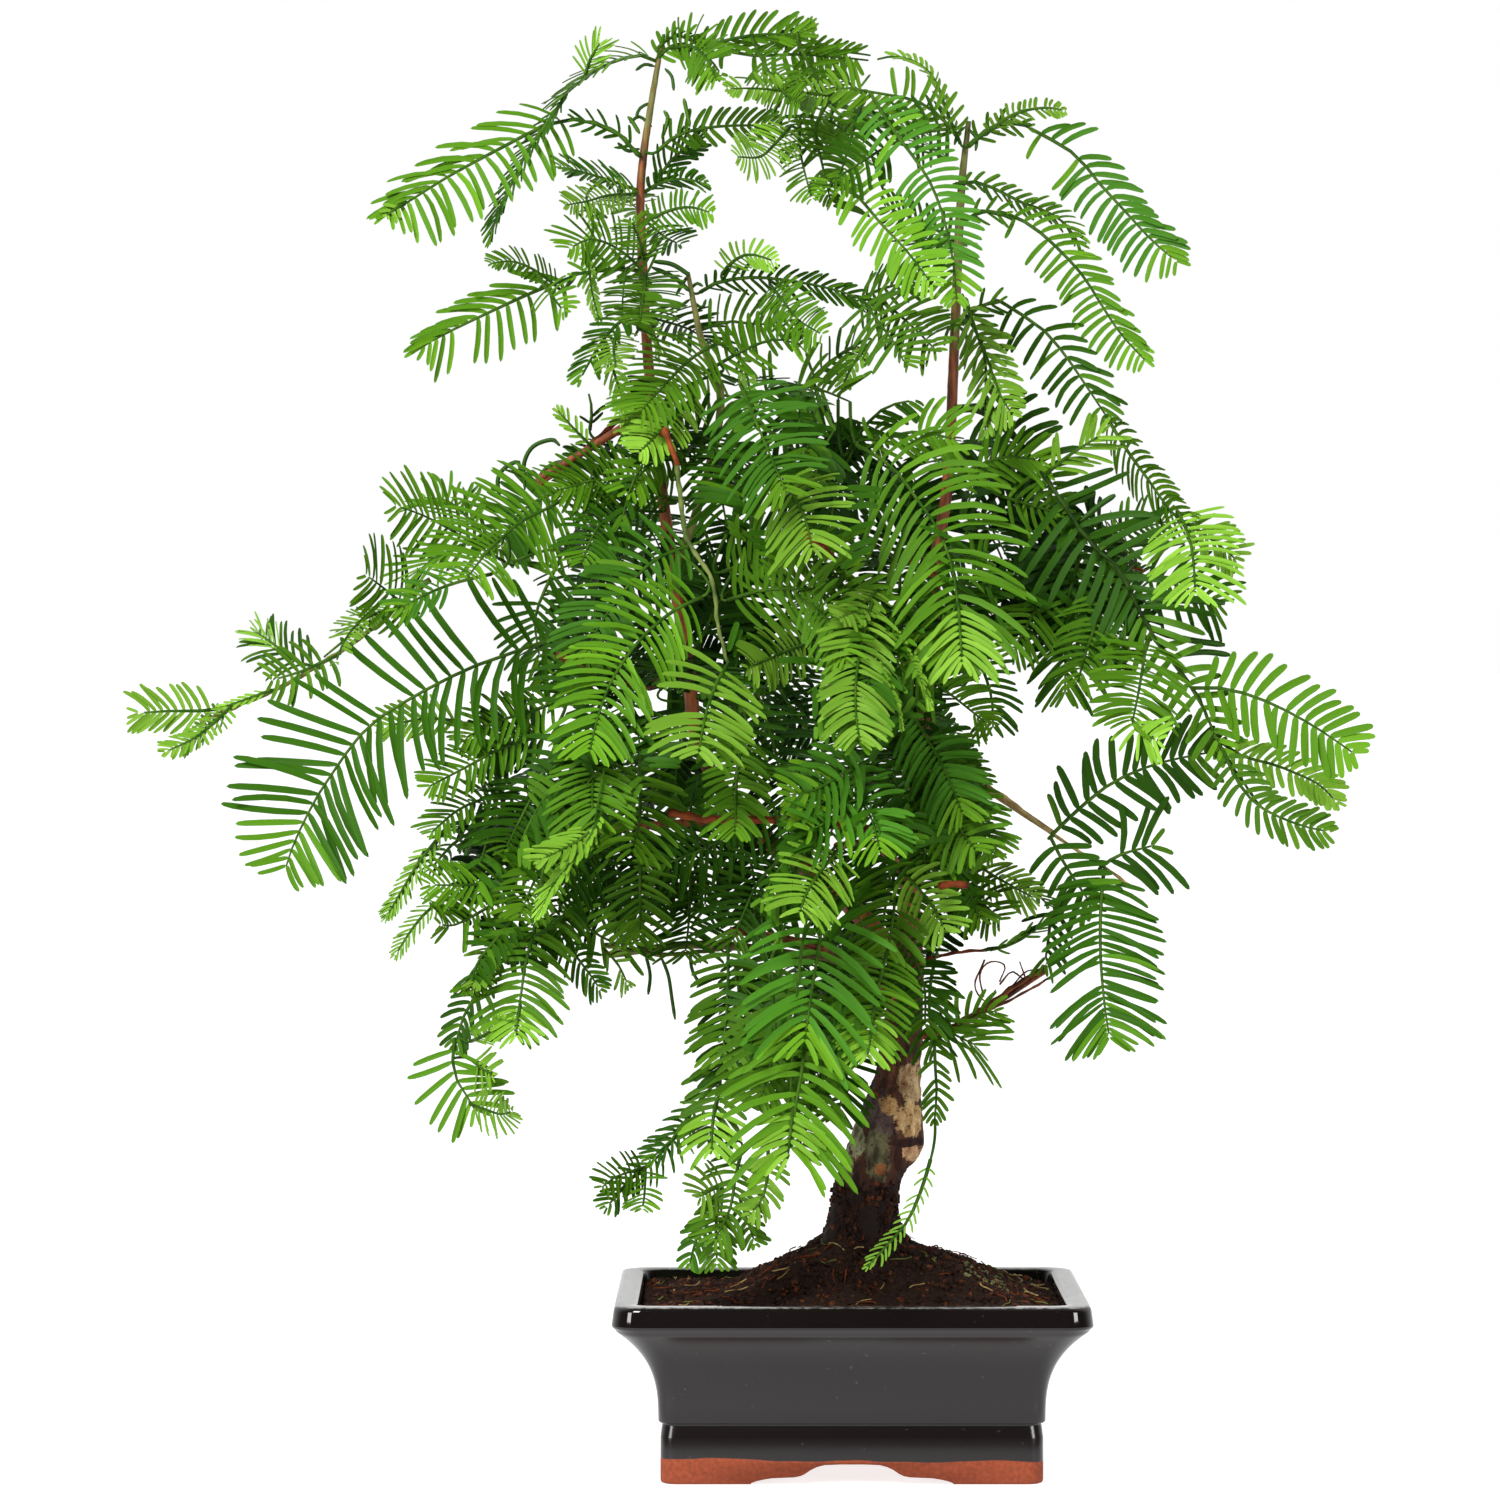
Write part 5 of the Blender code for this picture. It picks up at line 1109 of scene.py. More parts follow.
def finer_shoots(main, dice):
    """Further side shoots, finer than the solids' ones."""
    shoots = []
    for index in range(11):
        place = 0.1 + 0.08 * index + dice.uniform(-0.04, 0.04)
        tangent, sideways, facing = main.frame(place)
        hand = 1 if index % 2 else -1
        angle = math.radians(dice.uniform(40, 75))
        heading = tangent * math.cos(angle) + sideways * hand * math.sin(angle)
        heading = (heading + facing * dice.uniform(-0.5, 0.6)).normalized()
        shoots.append(side_shoot(main, place, heading, dice.uniform(22, 38),
                                 dice.uniform(0.1, 0.6), dice.uniform(9, 13)))
    return shoots


def grown_sprays():
    """Every mass again by the solids' rule, and finer, kept to where the crown is dense."""
    for number, (name, row) in enumerate(MASSES.items()):
        stations = LINES[row[0]]
        root = line_point(stations, row[1]) if row[1] else stations[-1]
        main = main_shoot(row, Vector(root[:3]))
        shoots = shoots_of(row, main, random.Random(100 + number))
        high = shoots[0].tip.z > 340
        if not high:
            shoots += finer_shoots(main, random.Random(500 + number))
        for index, shoot in enumerate(shoots):
            dice = np.random.default_rng(1000 + 40 * number + index)
            # Sprays grown in behind the placed ones take darker tints, darkest near the crown's middle: partly
            # older needles, partly painted shade for the crown's shaded inside.
            tint = "d"
            if abs(shoot.tip.y) < 25:
                tint = "k"
            if high:
                tint = "m"
            add_spray(shoot.path(), tint, np.array(shoot.across), 60, 0, shoot.reach * 1.05, 2.1,
                      2.7, 0.08, dice, kept=True, stem=0.6 if index == 0 else 0.4)


STATIONS = (0.0, 0.08, 0.32, 0.6, 0.84, 0.96, 1.0)
BREADTHS = (0.45, 0.85, 1.0, 1.0, 0.92, 0.62)


def needle_mesh(rows):
    """Points and triangles of needles: flat, grooved above, blunt at the tip."""
    root, way, side, up, bend = (rows[:, start:start + 3] for start in range(0, 15, 3))
    reach = rows[:, 15:16]
    half = rows[:, 16:17] / 2
    layers = []
    for station, breadth in zip(STATIONS, BREADTHS):
        middle = root + (way * station - bend * 1.7 * station * (1 - station)) * reach
        wide = side * half * breadth
        layers += [middle - wide + up * 0.16, middle - up * 0.2, middle + wide + up * 0.16,
                   middle + up * 0.02]
    layers.append(root + way * reach)
    points = np.stack(layers, 1)
    faces = [(3, 2, 1), (3, 1, 0)]
    for ring in range(len(BREADTHS) - 1):
        for corner in range(4):
            a, b = 4 * ring + corner, 4 * ring + (corner + 1) % 4
            faces += [(a, b, b + 4), (a, b + 4, a + 4)]
    end = 4 * (len(BREADTHS) - 1)
    faces += [(end + corner, end + (corner + 1) % 4, end + 4) for corner in range(4)]
    size = points.shape[1]
    offsets = np.arange(len(rows))[:, None, None] * size
    return points.reshape(-1, 3), (np.asarray(faces)[None] + offsets).reshape(-1, 3)


def bare_twigs():
    for row in BARE_TWIGS.strip().splitlines():
        looks, places = row.split(" | ")
        colour, *numbers = looks.split()
        first, last, near, far = map(float, numbers)
        line = even_curve(from_view(pixel_points(places), near, far), 1.5)
        wobble = np.array([noise.noise_vector(Vector(point) * 0.3) for point in line]) * first * 0.5
        knots = 1 + 0.16 * np.sin(np.arange(len(line)) * 1.7)
        tube(line + wobble, np.linspace(first, last, len(line)) * knots, 7, HEAPS[colour])
        SHOOT_LINES.append(line)


def lone_needles():
    """Needles that curve by themselves, as a chain of short flat lengths."""
    for row in LONE_NEEDLES.strip().splitlines():
        looks, places = row.split(" | ")
        tint, width, depth = looks.split()
        line = even_curve(from_view(pixel_points(places), float(depth), float(depth) - 2), 1.2)
        share = np.linspace(0, 1, len(line))
        half = float(width) / 2 * np.minimum(1, 0.4 + 4 * share) * np.minimum(1, 0.5 + 5 * (1 - share))
        tangent = unit(np.gradient(line, axis=0))
        side = unit(np.cross(tangent, (0, 1, 0.2))) * half[:, None]
        over = np.array((0, -0.18, 0.05))
        rings = np.stack([line - side, line + over, line + side, line - over], 1)
        heap = LONE[tint]
        base = heap.count
        heap.points.append(rings.reshape(-1, 3))
        heap.count += 4 * len(line)
        for ring in range(len(line) - 1):
            for corner in range(4):
                a, b = base + 4 * ring + corner, base + 4 * ring + (corner + 1) % 4
                heap.faces.append((a, a + 4, b + 4, b))
        last = base + 4 * (len(line) - 1)
        heap.faces += [(base, base + 1, base + 2, base + 3), (last + 3, last + 2, last + 1, last)]


def make_foliage():
    bare_twigs()
    lone_needles()
    lines = placed_sprays()
    grown_sprays()
    hang_twigs(lines)
    masses = list(MASSES)
    for tint, heap in LONE.items():
        finish, tree, shader = new_material("lone_" + tint, 0.5)
        shader.inputs["Base Color"].default_value = (*TINTS[tint], 1)
        shader.inputs["Specular IOR Level"].default_value = 0.2
        add_piece("lone_" + tint, np.vstack(heap.points), heap.faces, finish, masses)
    for (tint, shade), rows in NEEDLES.items():
        if not rows:
            continue
        rows = np.vstack(rows)
        name = f"needles_{tint}{shade}"
        finish, tree, shader = new_material(name, 0.5)
        colour = [part * SHADES[shade] for part in TINTS[tint]]
        shader.inputs["Base Color"].default_value = (*colour, 1)
        shader.inputs["Specular IOR Level"].default_value = 0.06
        points, faces = needle_mesh(rows)
        add_piece(name, points, faces, finish, masses, smooth=False)
    for name, (low, high) in TWIG_COLOURS.items():
        finish, tree, shader = new_material(name + "_twigs", 0.5)
        colour = ramp_node(tree, noise_node(tree, 160), ((0.38, low), (0.62, high)))
        tree.links.new(colour, shader.inputs["Base Color"])
        shader.inputs["Specular IOR Level"].default_value = 0.06
        heap = HEAPS[name]
        add_piece(name + "_twigs", np.vstack(heap.points), heap.faces, finish)


# Limbs' bark

def limb_piece(name, stations, sides, finish, replaced, relief):
    line, radii = stations[:, :3], stations[:, 3]
    tangent = unit(np.gradient(line, axis=0))
    across = unit(np.cross((0.0, 1.0, 0.0), tangent))
    over = np.cross(tangent, across)
    turns = np.arange(sides) * 2 * np.pi / sides
    points = []
    for row in range(len(line)):
        for turn in turns:
            arm = across[row] * math.cos(turn) + over[row] * math.sin(turn)
            points.append(line[row] + arm * radii[row] * relief(turn, line[row], arm, radii[row]))
    faces = []
    for row in range(len(line) - 1):
        for side in range(sides):
            a = row * sides + side
            b = row * sides + (side + 1) % sides
            faces.append((a, b, b + sides, a + sides))
    faces.append(tuple(range(sides - 1, -1, -1)))
    last = (len(line) - 1) * sides
    faces.append(tuple(range(last, last + sides)))
    return add_piece(name, np.array(points), faces, finish, replaced)


def trunk_swell(turn, point, arm, radius):
    height = point[2]
    flare = max(0, 1 - (height - TRUNK[0][2]) / 16)
    lobes = 1 + flare * (0.18 * math.cos(5 * turn + 0.6) + 0.1)
    away = math.atan2(math.sin(turn), math.cos(turn))
    knot = 0.24 * math.exp(-(away / 0.5) ** 2 - ((height - 105) / 5) ** 2)
    spot = Vector(point + arm * radius)
    rough = noise.fractal(spot * 0.16, 0.9, 2.1, 5) * 0.07
    plates = noise.fractal(Vector((spot.x * 0.5, spot.y * 0.5, spot.z * 0.13)), 0.8, 2.2, 4) * 0.06
    return lobes + knot + rough + plates


def young_swell(turn, point, arm, radius):
    spot = Vector(point + arm * radius)
    return 1 + noise.fractal(spot * 0.35, 0.9, 2.0, 3) * 0.08


def patch_node(tree, outputs, ragged, place):
    """How far a spot lies inside a ragged patch around a place on the bark's front."""
    across, high, half_across, half_high = place
    off_x = math_node(tree, "SUBTRACT", outputs["X"], across * MM + MIDDLE[0])
    off_z = math_node(tree, "SUBTRACT", outputs["Z"], high * MM)
    off_x = math_node(tree, "POWER", math_node(tree, "MULTIPLY", off_x, 1 / (half_across * MM)), 2.0)
    off_z = math_node(tree, "POWER", math_node(tree, "MULTIPLY", off_z, 1 / (half_high * MM)), 2.0)
    away = math_node(tree, "ADD", off_x, off_z)
    wave = math_node(tree, "MULTIPLY", ragged, 3.4)
    return range_node(tree, math_node(tree, "SUBTRACT", wave, away), 0.62, 0.86)


def bark_material():
    finish, tree, shader = new_material("trunk_bark", 0.8)
    outputs = position_nodes(tree)
    fine = noise_node(tree, 1100, 6, 0.7)
    plates = noise_node(tree, 330, 5, 0.65, (1, 1, 0.45))
    ragged = noise_node(tree, 210, 5, 0.7)
    colour = ramp_node(tree, plates, ((0.34, (0.012, 0.004, 0.003)), (0.5, (0.055, 0.020, 0.010)),
                                      (0.66, (0.13, 0.048, 0.020))))
    for place, low, high in BARK_PATCHES:
        tone = ramp_node(tree, plates, ((0.38, low), (0.6, high)))
        colour = mix_node(tree, patch_node(tree, outputs, ragged, place), colour, tone)
    speck = ramp_node(tree, fine, ((0.36, grey(1)), (0.44, grey(0))))
    colour = mix_node(tree, speck, colour, (0.020, 0.007, 0.004))
    # The bark turns almost black towards the trunk's foot, below a ragged line.
    wave = math_node(tree, "MULTIPLY", ragged, 0.030)
    dark_foot_blend = range_node(tree, math_node(tree, "ADD", outputs["Z"], wave), 0.100, 0.112)
    colour = mix_node(tree, dark_foot_blend, (0.010, 0.004, 0.003), colour)
    tree.links.new(colour, shader.inputs["Base Color"])
    shader.inputs["Specular IOR Level"].default_value = 0.25
    bump_node(tree, shader, fine, 0.7, 0.0009)
    return finish


def leader_material(name, low, high, olive_from, olive_to):
    """Young bark, streaked along the limb, that turns olive upwards."""
    finish, tree, shader = new_material(name, 0.55)
    outputs = position_nodes(tree)
    streaks = noise_node(tree, 420, 4, 0.6, (1, 1, 0.18))
    older = ramp_node(tree, streaks, ((0.35, low), (0.68, high)))
    olive = ramp_node(tree, streaks, ((0.35, (0.06, 0.065, 0.012)), (0.65, (0.17, 0.16, 0.04))))
    patches = math_node(tree, "MULTIPLY", noise_node(tree, 90, 3, 0.6), 0.12)
    height = math_node(tree, "ADD", outputs["Z"], patches)
    share = range_node(tree, height, olive_from + 0.06, olive_to + 0.06)
    tree.links.new(mix_node(tree, share, older, olive), shader.inputs["Base Color"])
    shader.inputs["Specular IOR Level"].default_value = 0.25
    bump_node(tree, shader, streaks, 0.4, 0.0004)
    return finish


def make_limbs():
    trunk = smooth_rows(TRUNK, 0.7)
    limb_piece("trunk_bark", trunk, 90, bark_material(), ["trunk"], trunk_swell)
    red = leader_material("young_bark", (0.045, 0.009, 0.004), (0.26, 0.070, 0.016), 0.35, 0.39)
    finishes = {
        "left_leader": leader_material("left_bark", (0.06, 0.013, 0.004), (0.30, 0.085, 0.018),
                                       0.41, 0.45),
        "middle_leader": leader_material("olive_bark", (0.05, 0.04, 0.01), (0.14, 0.13, 0.03),
                                         0.20, 0.30),
        "right_bough": leader_material("green_bark", (0.008, 0.024, 0.003), (0.022, 0.050, 0.006),
                                       0.40, 0.50),
        "right_low_bough": leader_material("tan_bark", (0.20, 0.12, 0.04), (0.44, 0.31, 0.12),
                                           0.40, 0.50),
    }
    finishes["bottom_left_bough"] = finishes["middle_leader"]
    for name in list(LEADERS) + list(BOUGHS):
        finish = finishes.get(name, red)
        limb_piece(name + "_bark", LINES[name], 12, finish, [name], young_swell)


# Pot and soil

def rounded_ring(half_x, half_y, radius, height):
    points = []
    for quarter, (sign_x, sign_y) in enumerate(((1, 1), (-1, 1), (-1, -1), (1, -1))):
        centre = np.array((sign_x * (half_x - radius), sign_y * (half_y - radius), height))
        for step in range(CORNER_POINTS):
            turn = math.pi / 2 * (quarter + step / (CORNER_POINTS - 1))
            points.append(centre + np.array((math.cos(turn), math.sin(turn), 0)) * radius)
    return points


def loft(rings):
    count = len(rings[0])
    points = [point for ring in rings for point in ring]
    faces = [tuple(range(count - 1, -1, -1))]
    for row in range(len(rings) - 1):
        for column in range(count):
            here = row * count + column
            beside = row * count + (column + 1) % count
            faces.append((here, beside, beside + count, here + count))
    last = (len(rings) - 1) * count
    faces.append(tuple(range(last, last + count)))
    return points, faces


def flare_inset(height):
    band_bottom = POT_HEIGHT - RIM_BAND
    share = (height - BAND_TOP) / (band_bottom - BAND_TOP)
    return WAIST_INSET * (1 - share ** FLARE_POWER)


def inner_inset(height):
    lip = POT_HEIGHT - RIM_BAND
    if height >= lip:
        return RIM_WALL
    return max(RIM_WALL, flare_inset(max(height, BAND_TOP)) + WALL)


def pot_ring(height, inset, radius):
    return rounded_ring(POT_WIDTH / 2 - inset, POT_DEPTH / 2 - inset, radius, height)


def pot_material():
    finish, tree, shader = new_material("pot_glaze", 0.07)
    outputs = position_nodes(tree)
    wave = noise_node(tree, 28, 2, 0.5)
    edge = math_node(tree, "ADD", outputs["Z"], math_node(tree, "MULTIPLY", wave, 0.005))
    glazed = range_node(tree, edge, 0.0100, 0.0103)
    grain = noise_node(tree, 700, 5, 0.6)
    clay = ramp_node(tree, grain, ((0.3, (0.16, 0.026, 0.006)), (0.7, (0.28, 0.050, 0.013))))
    specks = ramp_node(tree, noise_node(tree, 420, 3, 0.5), ((0.27, grey(1)), (0.30, grey(0))))
    black = mix_node(tree, specks, (0.006, 0.004, 0.004), (0.03, 0.026, 0.024))
    # The rim's top face is painted a mottled lighter grey: a painted reflection of the bright surroundings in
    # the glaze, laid over the black.
    painted_rim_sheen = ramp_node(tree, noise_node(tree, 300, 5, 0.65), ((0.42, (0.02, 0.018, 0.016)),
                                                           (0.60, (0.19, 0.185, 0.175))))
    upward = range_node(tree, outputs["Z"], 0.05645, 0.0566)
    black = mix_node(tree, upward, black, painted_rim_sheen)
    tree.links.new(mix_node(tree, glazed, clay, black), shader.inputs["Base Color"])
    rim = range_node(tree, outputs["Z"], 0.0490, 0.0500)
    gloss = math_node(tree, "SUBTRACT", 0.2, math_node(tree, "MULTIPLY", rim, 0.15))
    gloss = math_node(tree, "MAXIMUM", gloss, math_node(tree, "MULTIPLY", math_node(
        tree, "SUBTRACT", 1.0, glazed), 0.8))
    tree.links.new(gloss, shader.inputs["Roughness"])
    shader.inputs["Specular IOR Level"].default_value = 0.42
    bump_node(tree, shader, noise_node(tree, 30, 2, 0.5), 0.05, 0.001)
    return finish


def make_pot():
    band_bottom = POT_HEIGHT - RIM_BAND
    rings = [
        pot_ring(RECESS_TOP, BAND_INSET + FOOT_WALL + 1, 3),
        pot_ring(0, BAND_INSET + FOOT_WALL, 3),
        pot_ring(0, BAND_INSET + 0.8, 4.5),
        pot_ring(0.3, BAND_INSET + 0.2, 5),
        pot_ring(1.0, BAND_INSET, 5),
        pot_ring(FOOT_HEIGHT, BAND_INSET, 5),
        pot_ring(BAND_TOP - 4.6, BAND_INSET, 5),
        pot_ring(BAND_TOP - 4.4, BAND_INSET + 0.05, 5),
        pot_ring(BAND_TOP - 0.9, BAND_INSET + 0.5, 5),
        pot_ring(BAND_TOP - 0.3, BAND_INSET + 0.7, 5),
        pot_ring(BAND_TOP, WAIST_INSET + 0.4, 5),
        pot_ring(BAND_TOP + 0.5, WAIST_INSET + 0.05, 5),
    ]
    for step in range(2, 20):
        height = BAND_TOP + (band_bottom - BAND_TOP) * (step / 20) ** 0.8
        rings.append(pot_ring(height, flare_inset(height), 5 + step * 0.15))
    rings += [
        pot_ring(band_bottom - 0.2, 0.9, 8.5),
        pot_ring(band_bottom + 0.1, 0.4, 8.7),
        pot_ring(band_bottom + 0.5, 0.1, 9),
        pot_ring(band_bottom + 0.9, 0, 9),
        pot_ring(band_bottom + 1.1, 0.02, 9),
        pot_ring(POT_HEIGHT - 1.7, 0.62, 8.6),
        pot_ring(POT_HEIGHT - 1.5, 0.66, 8.6),
        pot_ring(POT_HEIGHT - 0.9, 0.85, 8.4),
        pot_ring(POT_HEIGHT - 0.4, 1.3, 8.2),
        pot_ring(POT_HEIGHT - 0.1, 1.9, 8),
        pot_ring(POT_HEIGHT, 2.6, 7.6),
        pot_ring(POT_HEIGHT, RIM_WALL - 1.6, 5.5),
        pot_ring(POT_HEIGHT - 0.3, RIM_WALL - 0.6, 5.2),
        pot_ring(POT_HEIGHT - 1.2, RIM_WALL, 5),
    ]
    for height in (band_bottom, 44, 40):
        rings.append(pot_ring(height, inner_inset(height), 4.5))
    points, faces = loft(rings)
    pot = add_piece("glazed_pot", np.array(points), faces, pot_material(), ["pot"])
    for half_width, along_x in ((ARCH_FRONT, False), (ARCH_SIDE, True)):
        cut_arch(pot, half_width, along_x)


def cut_arch(pot, half_width, along_x):
    """Cut the arch between two feet, with the outline of a drawn bow."""
    steps = ((1.0, -1.0), (0.98, 0.5), (0.93, 1.1), (0.86, 1.6), (0.78, 2.0), (0.56, 2.3),
             (0.50, 2.7), (0.46, 3.3), (0.40, 4.6), (0.34, 5.5), (0.27, 6.1), (0.12, 6.3))
    right = [(share * half_width, height) for share, height in steps]
    outline = right + [(-across, height) for across, height in reversed(right)]
    rings = []
    for end in (-POT_WIDTH, POT_WIDTH):
        if along_x:
            rings.append([np.array((end, across, height)) for across, height in outline])
        else:
            rings.append([np.array((-across, end, height)) for across, height in outline])
    points, faces = loft(rings)
    mesh = bpy.data.meshes.new("arch")
    mesh.from_pydata((np.array(points) * MM + MIDDLE).tolist(), [], faces)
    cutter = bpy.data.objects.new("arch", mesh)
    bpy.context.scene.collection.objects.link(cutter)
    cut = pot.modifiers.new("arch", "BOOLEAN")
    cut.object = cutter
    cut.operation = "DIFFERENCE"
    graph = bpy.context.evaluated_depsgraph_get()
    pot.data = bpy.data.meshes.new_from_object(pot.evaluated_get(graph))
    pot.modifiers.clear()
    bpy.data.objects.remove(cutter, do_unlink=True)


def soil_material():
    finish, tree, shader = new_material("soil", 0.95)
    fine = noise_node(tree, 1500, 6, 0.7)
    broad = noise_node(tree, 120, 4, 0.6)
    colour = ramp_node(tree, fine, ((0.35, (0.009, 0.004, 0.002)), (0.55, (0.032, 0.012, 0.006)),
                                    (0.72, (0.10, 0.045, 0.022))))
    dark = ramp_node(tree, fine, ((0.4, (0.008, 0.004, 0.003)), (0.7, (0.03, 0.013, 0.007))))
    tree.links.new(mix_node(tree, broad, colour, dark), shader.inputs["Base Color"])
    bump_node(tree, shader, fine, 0.8, 0.001)
    shader.inputs["Specular IOR Level"].default_value = 0.2
    return finish


def make_soil():
    across, along = 200, 150
    edge_x, edge_y = POT_WIDTH / 2 - RIM_WALL - GAP, POT_DEPTH / 2 - RIM_WALL - GAP
    xs = np.linspace(-edge_x, edge_x, across)
    ys = np.linspace(-edge_y, edge_y, along)
    points = []
    for y in ys:
        for x in xs:
            z = float(mound(np.array(x), np.array(y)))
            spot = Vector((x, y, 0))
            z += noise.fractal(spot * 0.12, 0.8, 2.0, 3) * 1.2
            z += noise.fractal(spot * 0.8, 0.6, 2.2, 4) * 0.8
            points.append((x, y, z))
    faces = []
    for row in range(along - 1):
        for column in range(across - 1):
            a = row * across + column
            faces.append((a, a + 1, a + across + 1, a + across))
    rim = ([column for column in range(across)]
           + [row * across + across - 1 for row in range(1, along)]
           + [(along - 1) * across + column for column in range(across - 2, -1, -1)]
           + [row * across for row in range(along - 2, 0, -1)])
    base = len(points)
    points += [(points[index][0], points[index][1], 46.0) for index in rim]
    for number, index in enumerate(rim):
        following = (number + 1) % len(rim)
        faces.append((rim[following], index, base + number, base + following))
    faces.append(tuple(range(base + len(rim) - 1, base - 1, -1)))
    add_piece("soil_surface", np.array(points), faces, soil_material(), ["soil"])


def lumps(centres, sizes, dice):
    """Small rough stones or crumbs as squashed twenty-sided balls."""
    long = (1 + math.sqrt(5)) / 2
    corners = unit(np.array([(-1, long, 0), (1, long, 0), (-1, -long, 0), (1, -long, 0),
                             (0, -1, long), (0, 1, long), (0, -1, -long), (0, 1, -long),
                             (long, 0, -1), (long, 0, 1), (-long, 0, -1), (-long, 0, 1)]))
    sides = np.array([(0, 11, 5), (0, 5, 1), (0, 1, 7), (0, 7, 10), (0, 10, 11), (1, 5, 9),
                      (5, 11, 4), (11, 10, 2), (10, 7, 6), (7, 1, 8), (3, 9, 4), (3, 4, 2),
                      (3, 2, 6), (3, 6, 8), (3, 8, 9), (4, 9, 5), (2, 4, 11), (6, 2, 10),
                      (8, 6, 7), (9, 8, 1)])
    count = len(centres)
    stretch = dice.uniform(0.6, 1.3, (count, 1, 3)) * dice.uniform(0.8, 1.2, (count, 12, 1))
    points = centres[:, None] + corners[None] * stretch * sizes[:, None, None]
    faces = sides[None] + (np.arange(count) * 12)[:, None, None]
    return points.reshape(-1, 3), faces.reshape(-1, 3)


def soil_spots(count, dice):
    """Random spots spread evenly over the mound."""
    edge_x, edge_y = POT_WIDTH / 2 - RIM_WALL - 1.5, POT_DEPTH / 2 - RIM_WALL - 1.5
    xs = dice.uniform(-edge_x, edge_x, count)
    ys = dice.uniform(-edge_y, edge_y, count)
    return np.stack([xs, ys, mound(xs, ys)], 1)


def trunk_spots(count, dice):
    """Random spots on the trunk's foot, thinning out upwards."""
    heights = 67 + 24 * dice.random(count) ** 1.6
    turns = dice.uniform(0, 2 * np.pi, count)
    stations = np.array([line_point(LINES["trunk"], height) for height in heights])
    reach = stations[:, 3] * (1.0 + 0.12 * np.maximum(0, 1 - (heights - 68) / 12))
    return np.stack([stations[:, 0] + np.cos(turns) * reach,
                     stations[:, 1] + np.sin(turns) * reach, heights], 1)


SOIL_TONES = {
    "dark": (2600, (0.008, 0.003, 0.002), (0.022, 0.009, 0.005)),
    "brown": (1500, (0.017, 0.006, 0.003), (0.044, 0.017, 0.008)),
    "red": (700, (0.055, 0.015, 0.005), (0.115, 0.036, 0.013)),
}
# Fibres on the soil: colour and how many
FIBRES = {"red": 90, "tan": 40, "olive": 26}


def make_crumbs():
    for number, (name, (count, low, high)) in enumerate(SOIL_TONES.items()):
        dice = np.random.default_rng(70 + number)
        spots = np.vstack([soil_spots(count, dice), trunk_spots(count // 3, dice)])
        sizes = dice.uniform(0.35, 1.0, len(spots)) * np.where(dice.random(len(spots)) > 0.9, 1.7, 1)
        points, faces = lumps(spots, sizes, dice)
        points[:, 2] = np.maximum(points[:, 2], SOIL_EDGE - 2)
        finish, tree, shader = new_material(name + "_crumbs", 0.95)
        colour = ramp_node(tree, noise_node(tree, 900, 3), ((0.4, low), (0.6, high)))
        tree.links.new(colour, shader.inputs["Base Color"])
        shader.inputs["Specular IOR Level"].default_value = 0.15
        add_piece(name + "_crumbs", points, faces, finish, smooth=False)
    dice = np.random.default_rng(90)
    green = soil_spots(2500, dice)
    green = green[(abs(green[:, 0] - 42) < 7) & (abs(green[:, 1] + 12) < 14)]
    points, faces = lumps(green, dice.uniform(0.5, 1.1, len(green)), dice)
    finish, tree, shader = new_material("moss", 0.95)
    colour = ramp_node(tree, noise_node(tree, 900, 3), ((0.4, (0.06, 0.055, 0.012)),
                                                        (0.6, (0.16, 0.17, 0.06))))
    tree.links.new(colour, shader.inputs["Base Color"])
    add_piece("moss", points, faces, finish, smooth=False)


def lay_fibres():
    """Dry roots and needles that lie about on the soil."""
    dice = np.random.default_rng(95)
    for colour, count in FIBRES.items():
        for spot in soil_spots(count, dice):
            turn = dice.uniform(0, 2 * np.pi)
            reach = dice.uniform(2, 8)
            bow = dice.uniform(-0.5, 0.5) * reach
            flat = np.array((math.cos(turn), math.sin(turn)))
            cross = np.array((-flat[1], flat[0]))
            rows = []
            for share in (-1, -0.4, 0.3, 1):
                x, y = spot[:2] + flat * reach * share / 2 + cross * bow * (1 - share ** 2) / 2
                x = min(max(x, -POT_WIDTH / 2 + RIM_WALL + 1), POT_WIDTH / 2 - RIM_WALL - 1)
                y = min(max(y, -POT_DEPTH / 2 + RIM_WALL + 1), POT_DEPTH / 2 - RIM_WALL - 1)
                rows.append((x, y, float(mound(np.array(x), np.array(y))) + 0.7 + dice.random()))
            line = even_curve(rows, 0.8)
            tube(line, np.full(len(line), dice.uniform(0.12, 0.26)), 4, HEAPS[colour])


# Stage, lights and camera

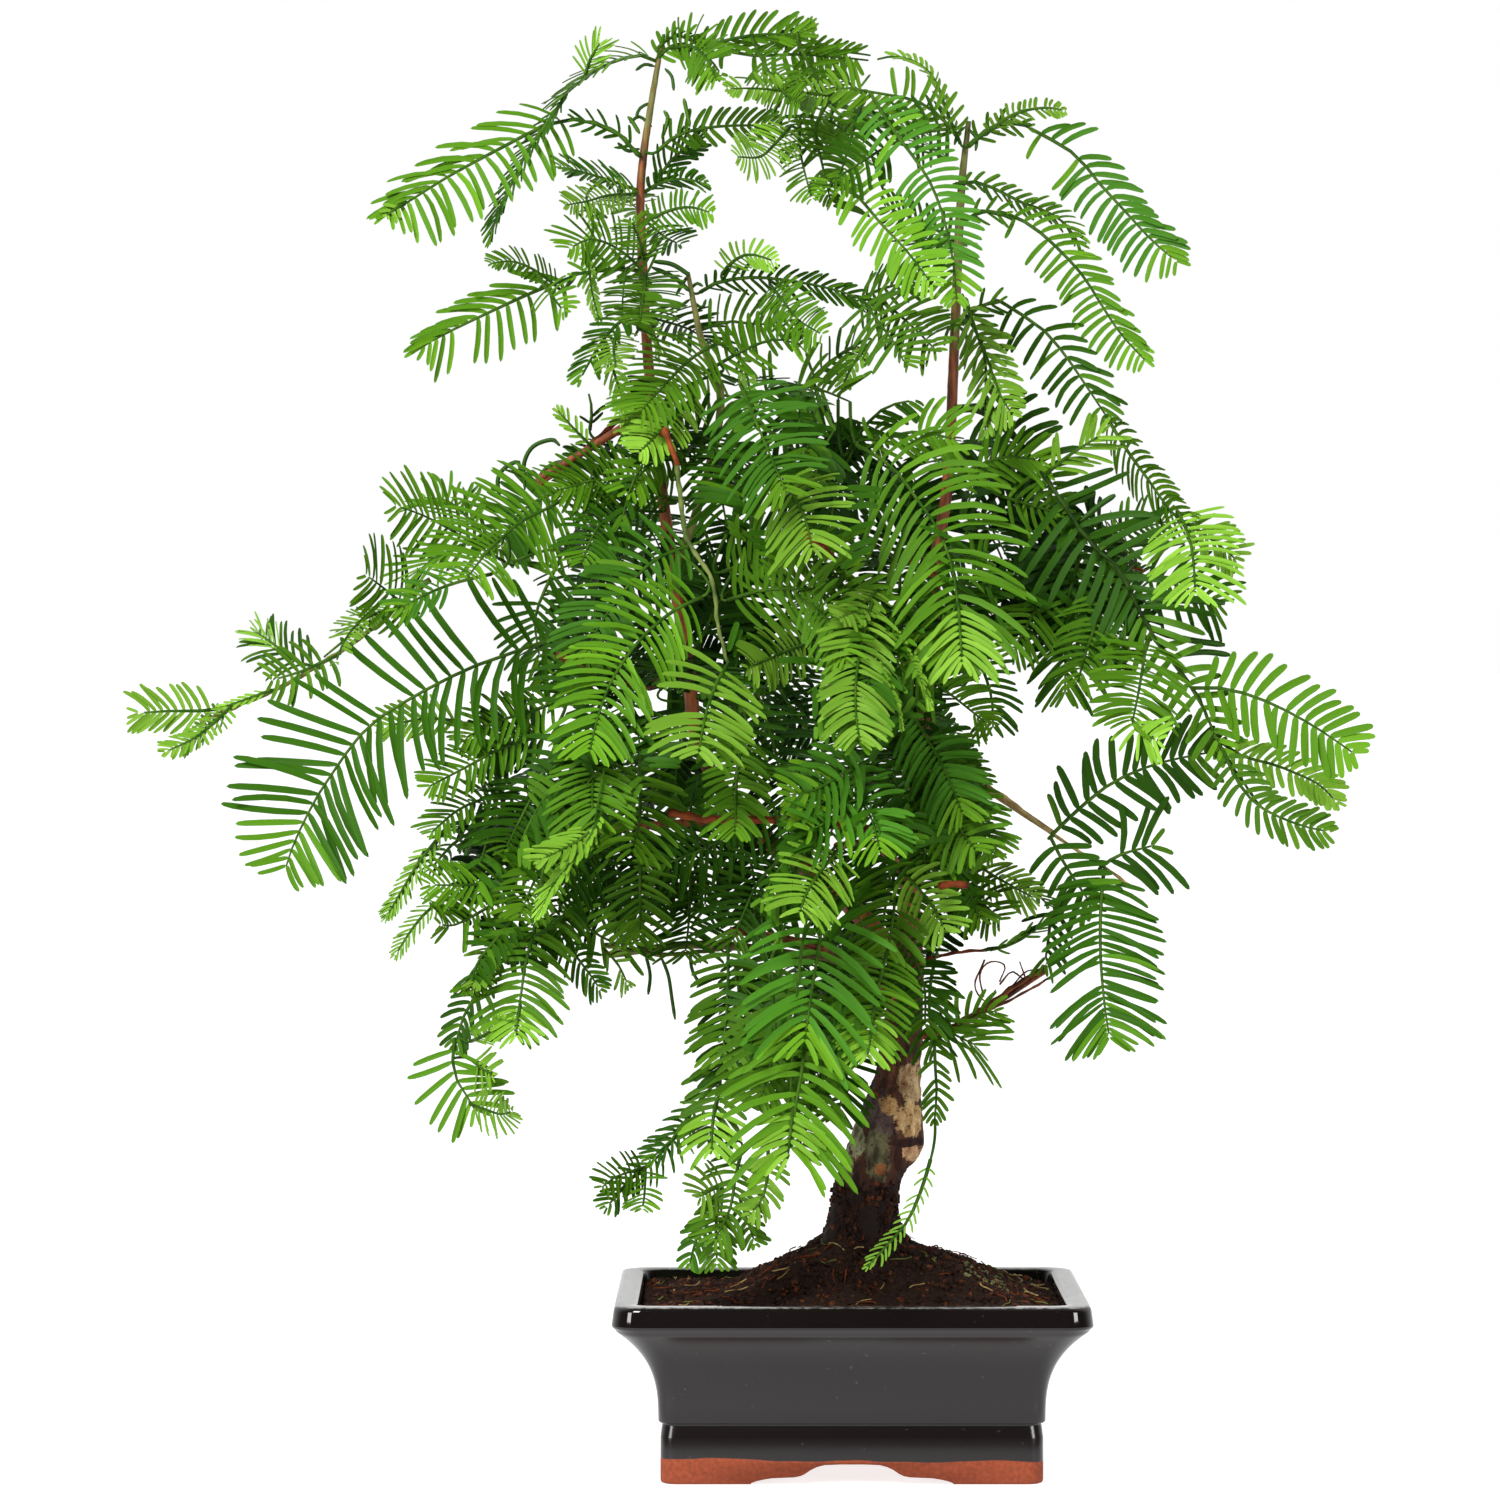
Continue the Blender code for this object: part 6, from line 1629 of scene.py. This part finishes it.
def make_stage():
    mesh = bpy.data.meshes.new("floor")
    mesh.from_pydata([(-30, -30, 0), (30, -30, 0), (30, 30, 0), (-30, 30, 0)], [], [(0, 1, 2, 3)])
    floor = bpy.data.objects.new("floor", mesh)
    finish, tree, shader = new_material("floor", 0.6)
    shader.inputs["Base Color"].default_value = (0.4, 0.4, 0.4, 1)
    shader.inputs["Emission Color"].default_value = (1, 1, 1, 1)
    shader.inputs["Emission Strength"].default_value = 0.8
    mesh.materials.append(finish)
    bpy.context.scene.collection.objects.link(floor)
    scene = bpy.context.scene
    scene.view_settings.view_transform = "Standard"
    scene.world = bpy.data.worlds.new("studio")
    scene.world.use_nodes = True
    tree = scene.world.node_tree
    back = tree.nodes["Background"]
    place = tree.nodes.new("ShaderNodeTexCoord")
    split = tree.nodes.new("ShaderNodeSeparateXYZ")
    tree.links.new(place.outputs["Generated"], split.inputs["Vector"])
    lift = math_node(tree, "ADD", math_node(tree, "MULTIPLY", split.outputs["Y"], 0.8),
                     math_node(tree, "MULTIPLY", split.outputs["Z"], 0.3))
    share = range_node(tree, lift, -0.15, 0.55)
    glow = ramp_node(tree, share, ((0.0, grey(0.03)), (0.3, grey(0.12)), (0.85, grey(1.0))))
    tree.links.new(glow, back.inputs["Color"])
    back.inputs["Strength"].default_value = 1.0


def add_light(name, place, target, size, power):
    light = bpy.data.lights.new(name, "AREA")
    light.shape = "SQUARE"
    light.size = size
    light.energy = power
    thing = bpy.data.objects.new(name, light)
    thing.location = place
    thing.rotation_euler = (Vector(target) - Vector(place)).to_track_quat("-Z", "Y").to_euler()
    bpy.context.scene.collection.objects.link(thing)


def make_view():
    camera = bpy.data.cameras.new("camera")
    camera.lens = LENS
    camera.sensor_width = 36
    camera.clip_start = 0.05
    camera.clip_end = 200
    thing = bpy.data.objects.new("camera", camera)
    thing.location = np.array(EYE) * MM + MIDDLE
    thing.rotation_euler = (math.radians(TILT), 0, 0)
    bpy.context.scene.collection.objects.link(thing)
    bpy.context.scene.camera = thing
    add_light("key", (-0.6, -1.2, 1.3), (0, 0, 0.25), 0.6, 40)
    add_light("left_strip", (-1.1, -1.0, 0.5), (0, 0, 0.1), 0.4, 8)
    add_light("right_strip", (1.1, -1.0, 0.5), (0, 0, 0.1), 0.4, 8)


lay_fibres()
make_foliage()
make_limbs()
make_pot()
make_soil()
make_crumbs()
make_stage()
make_view()
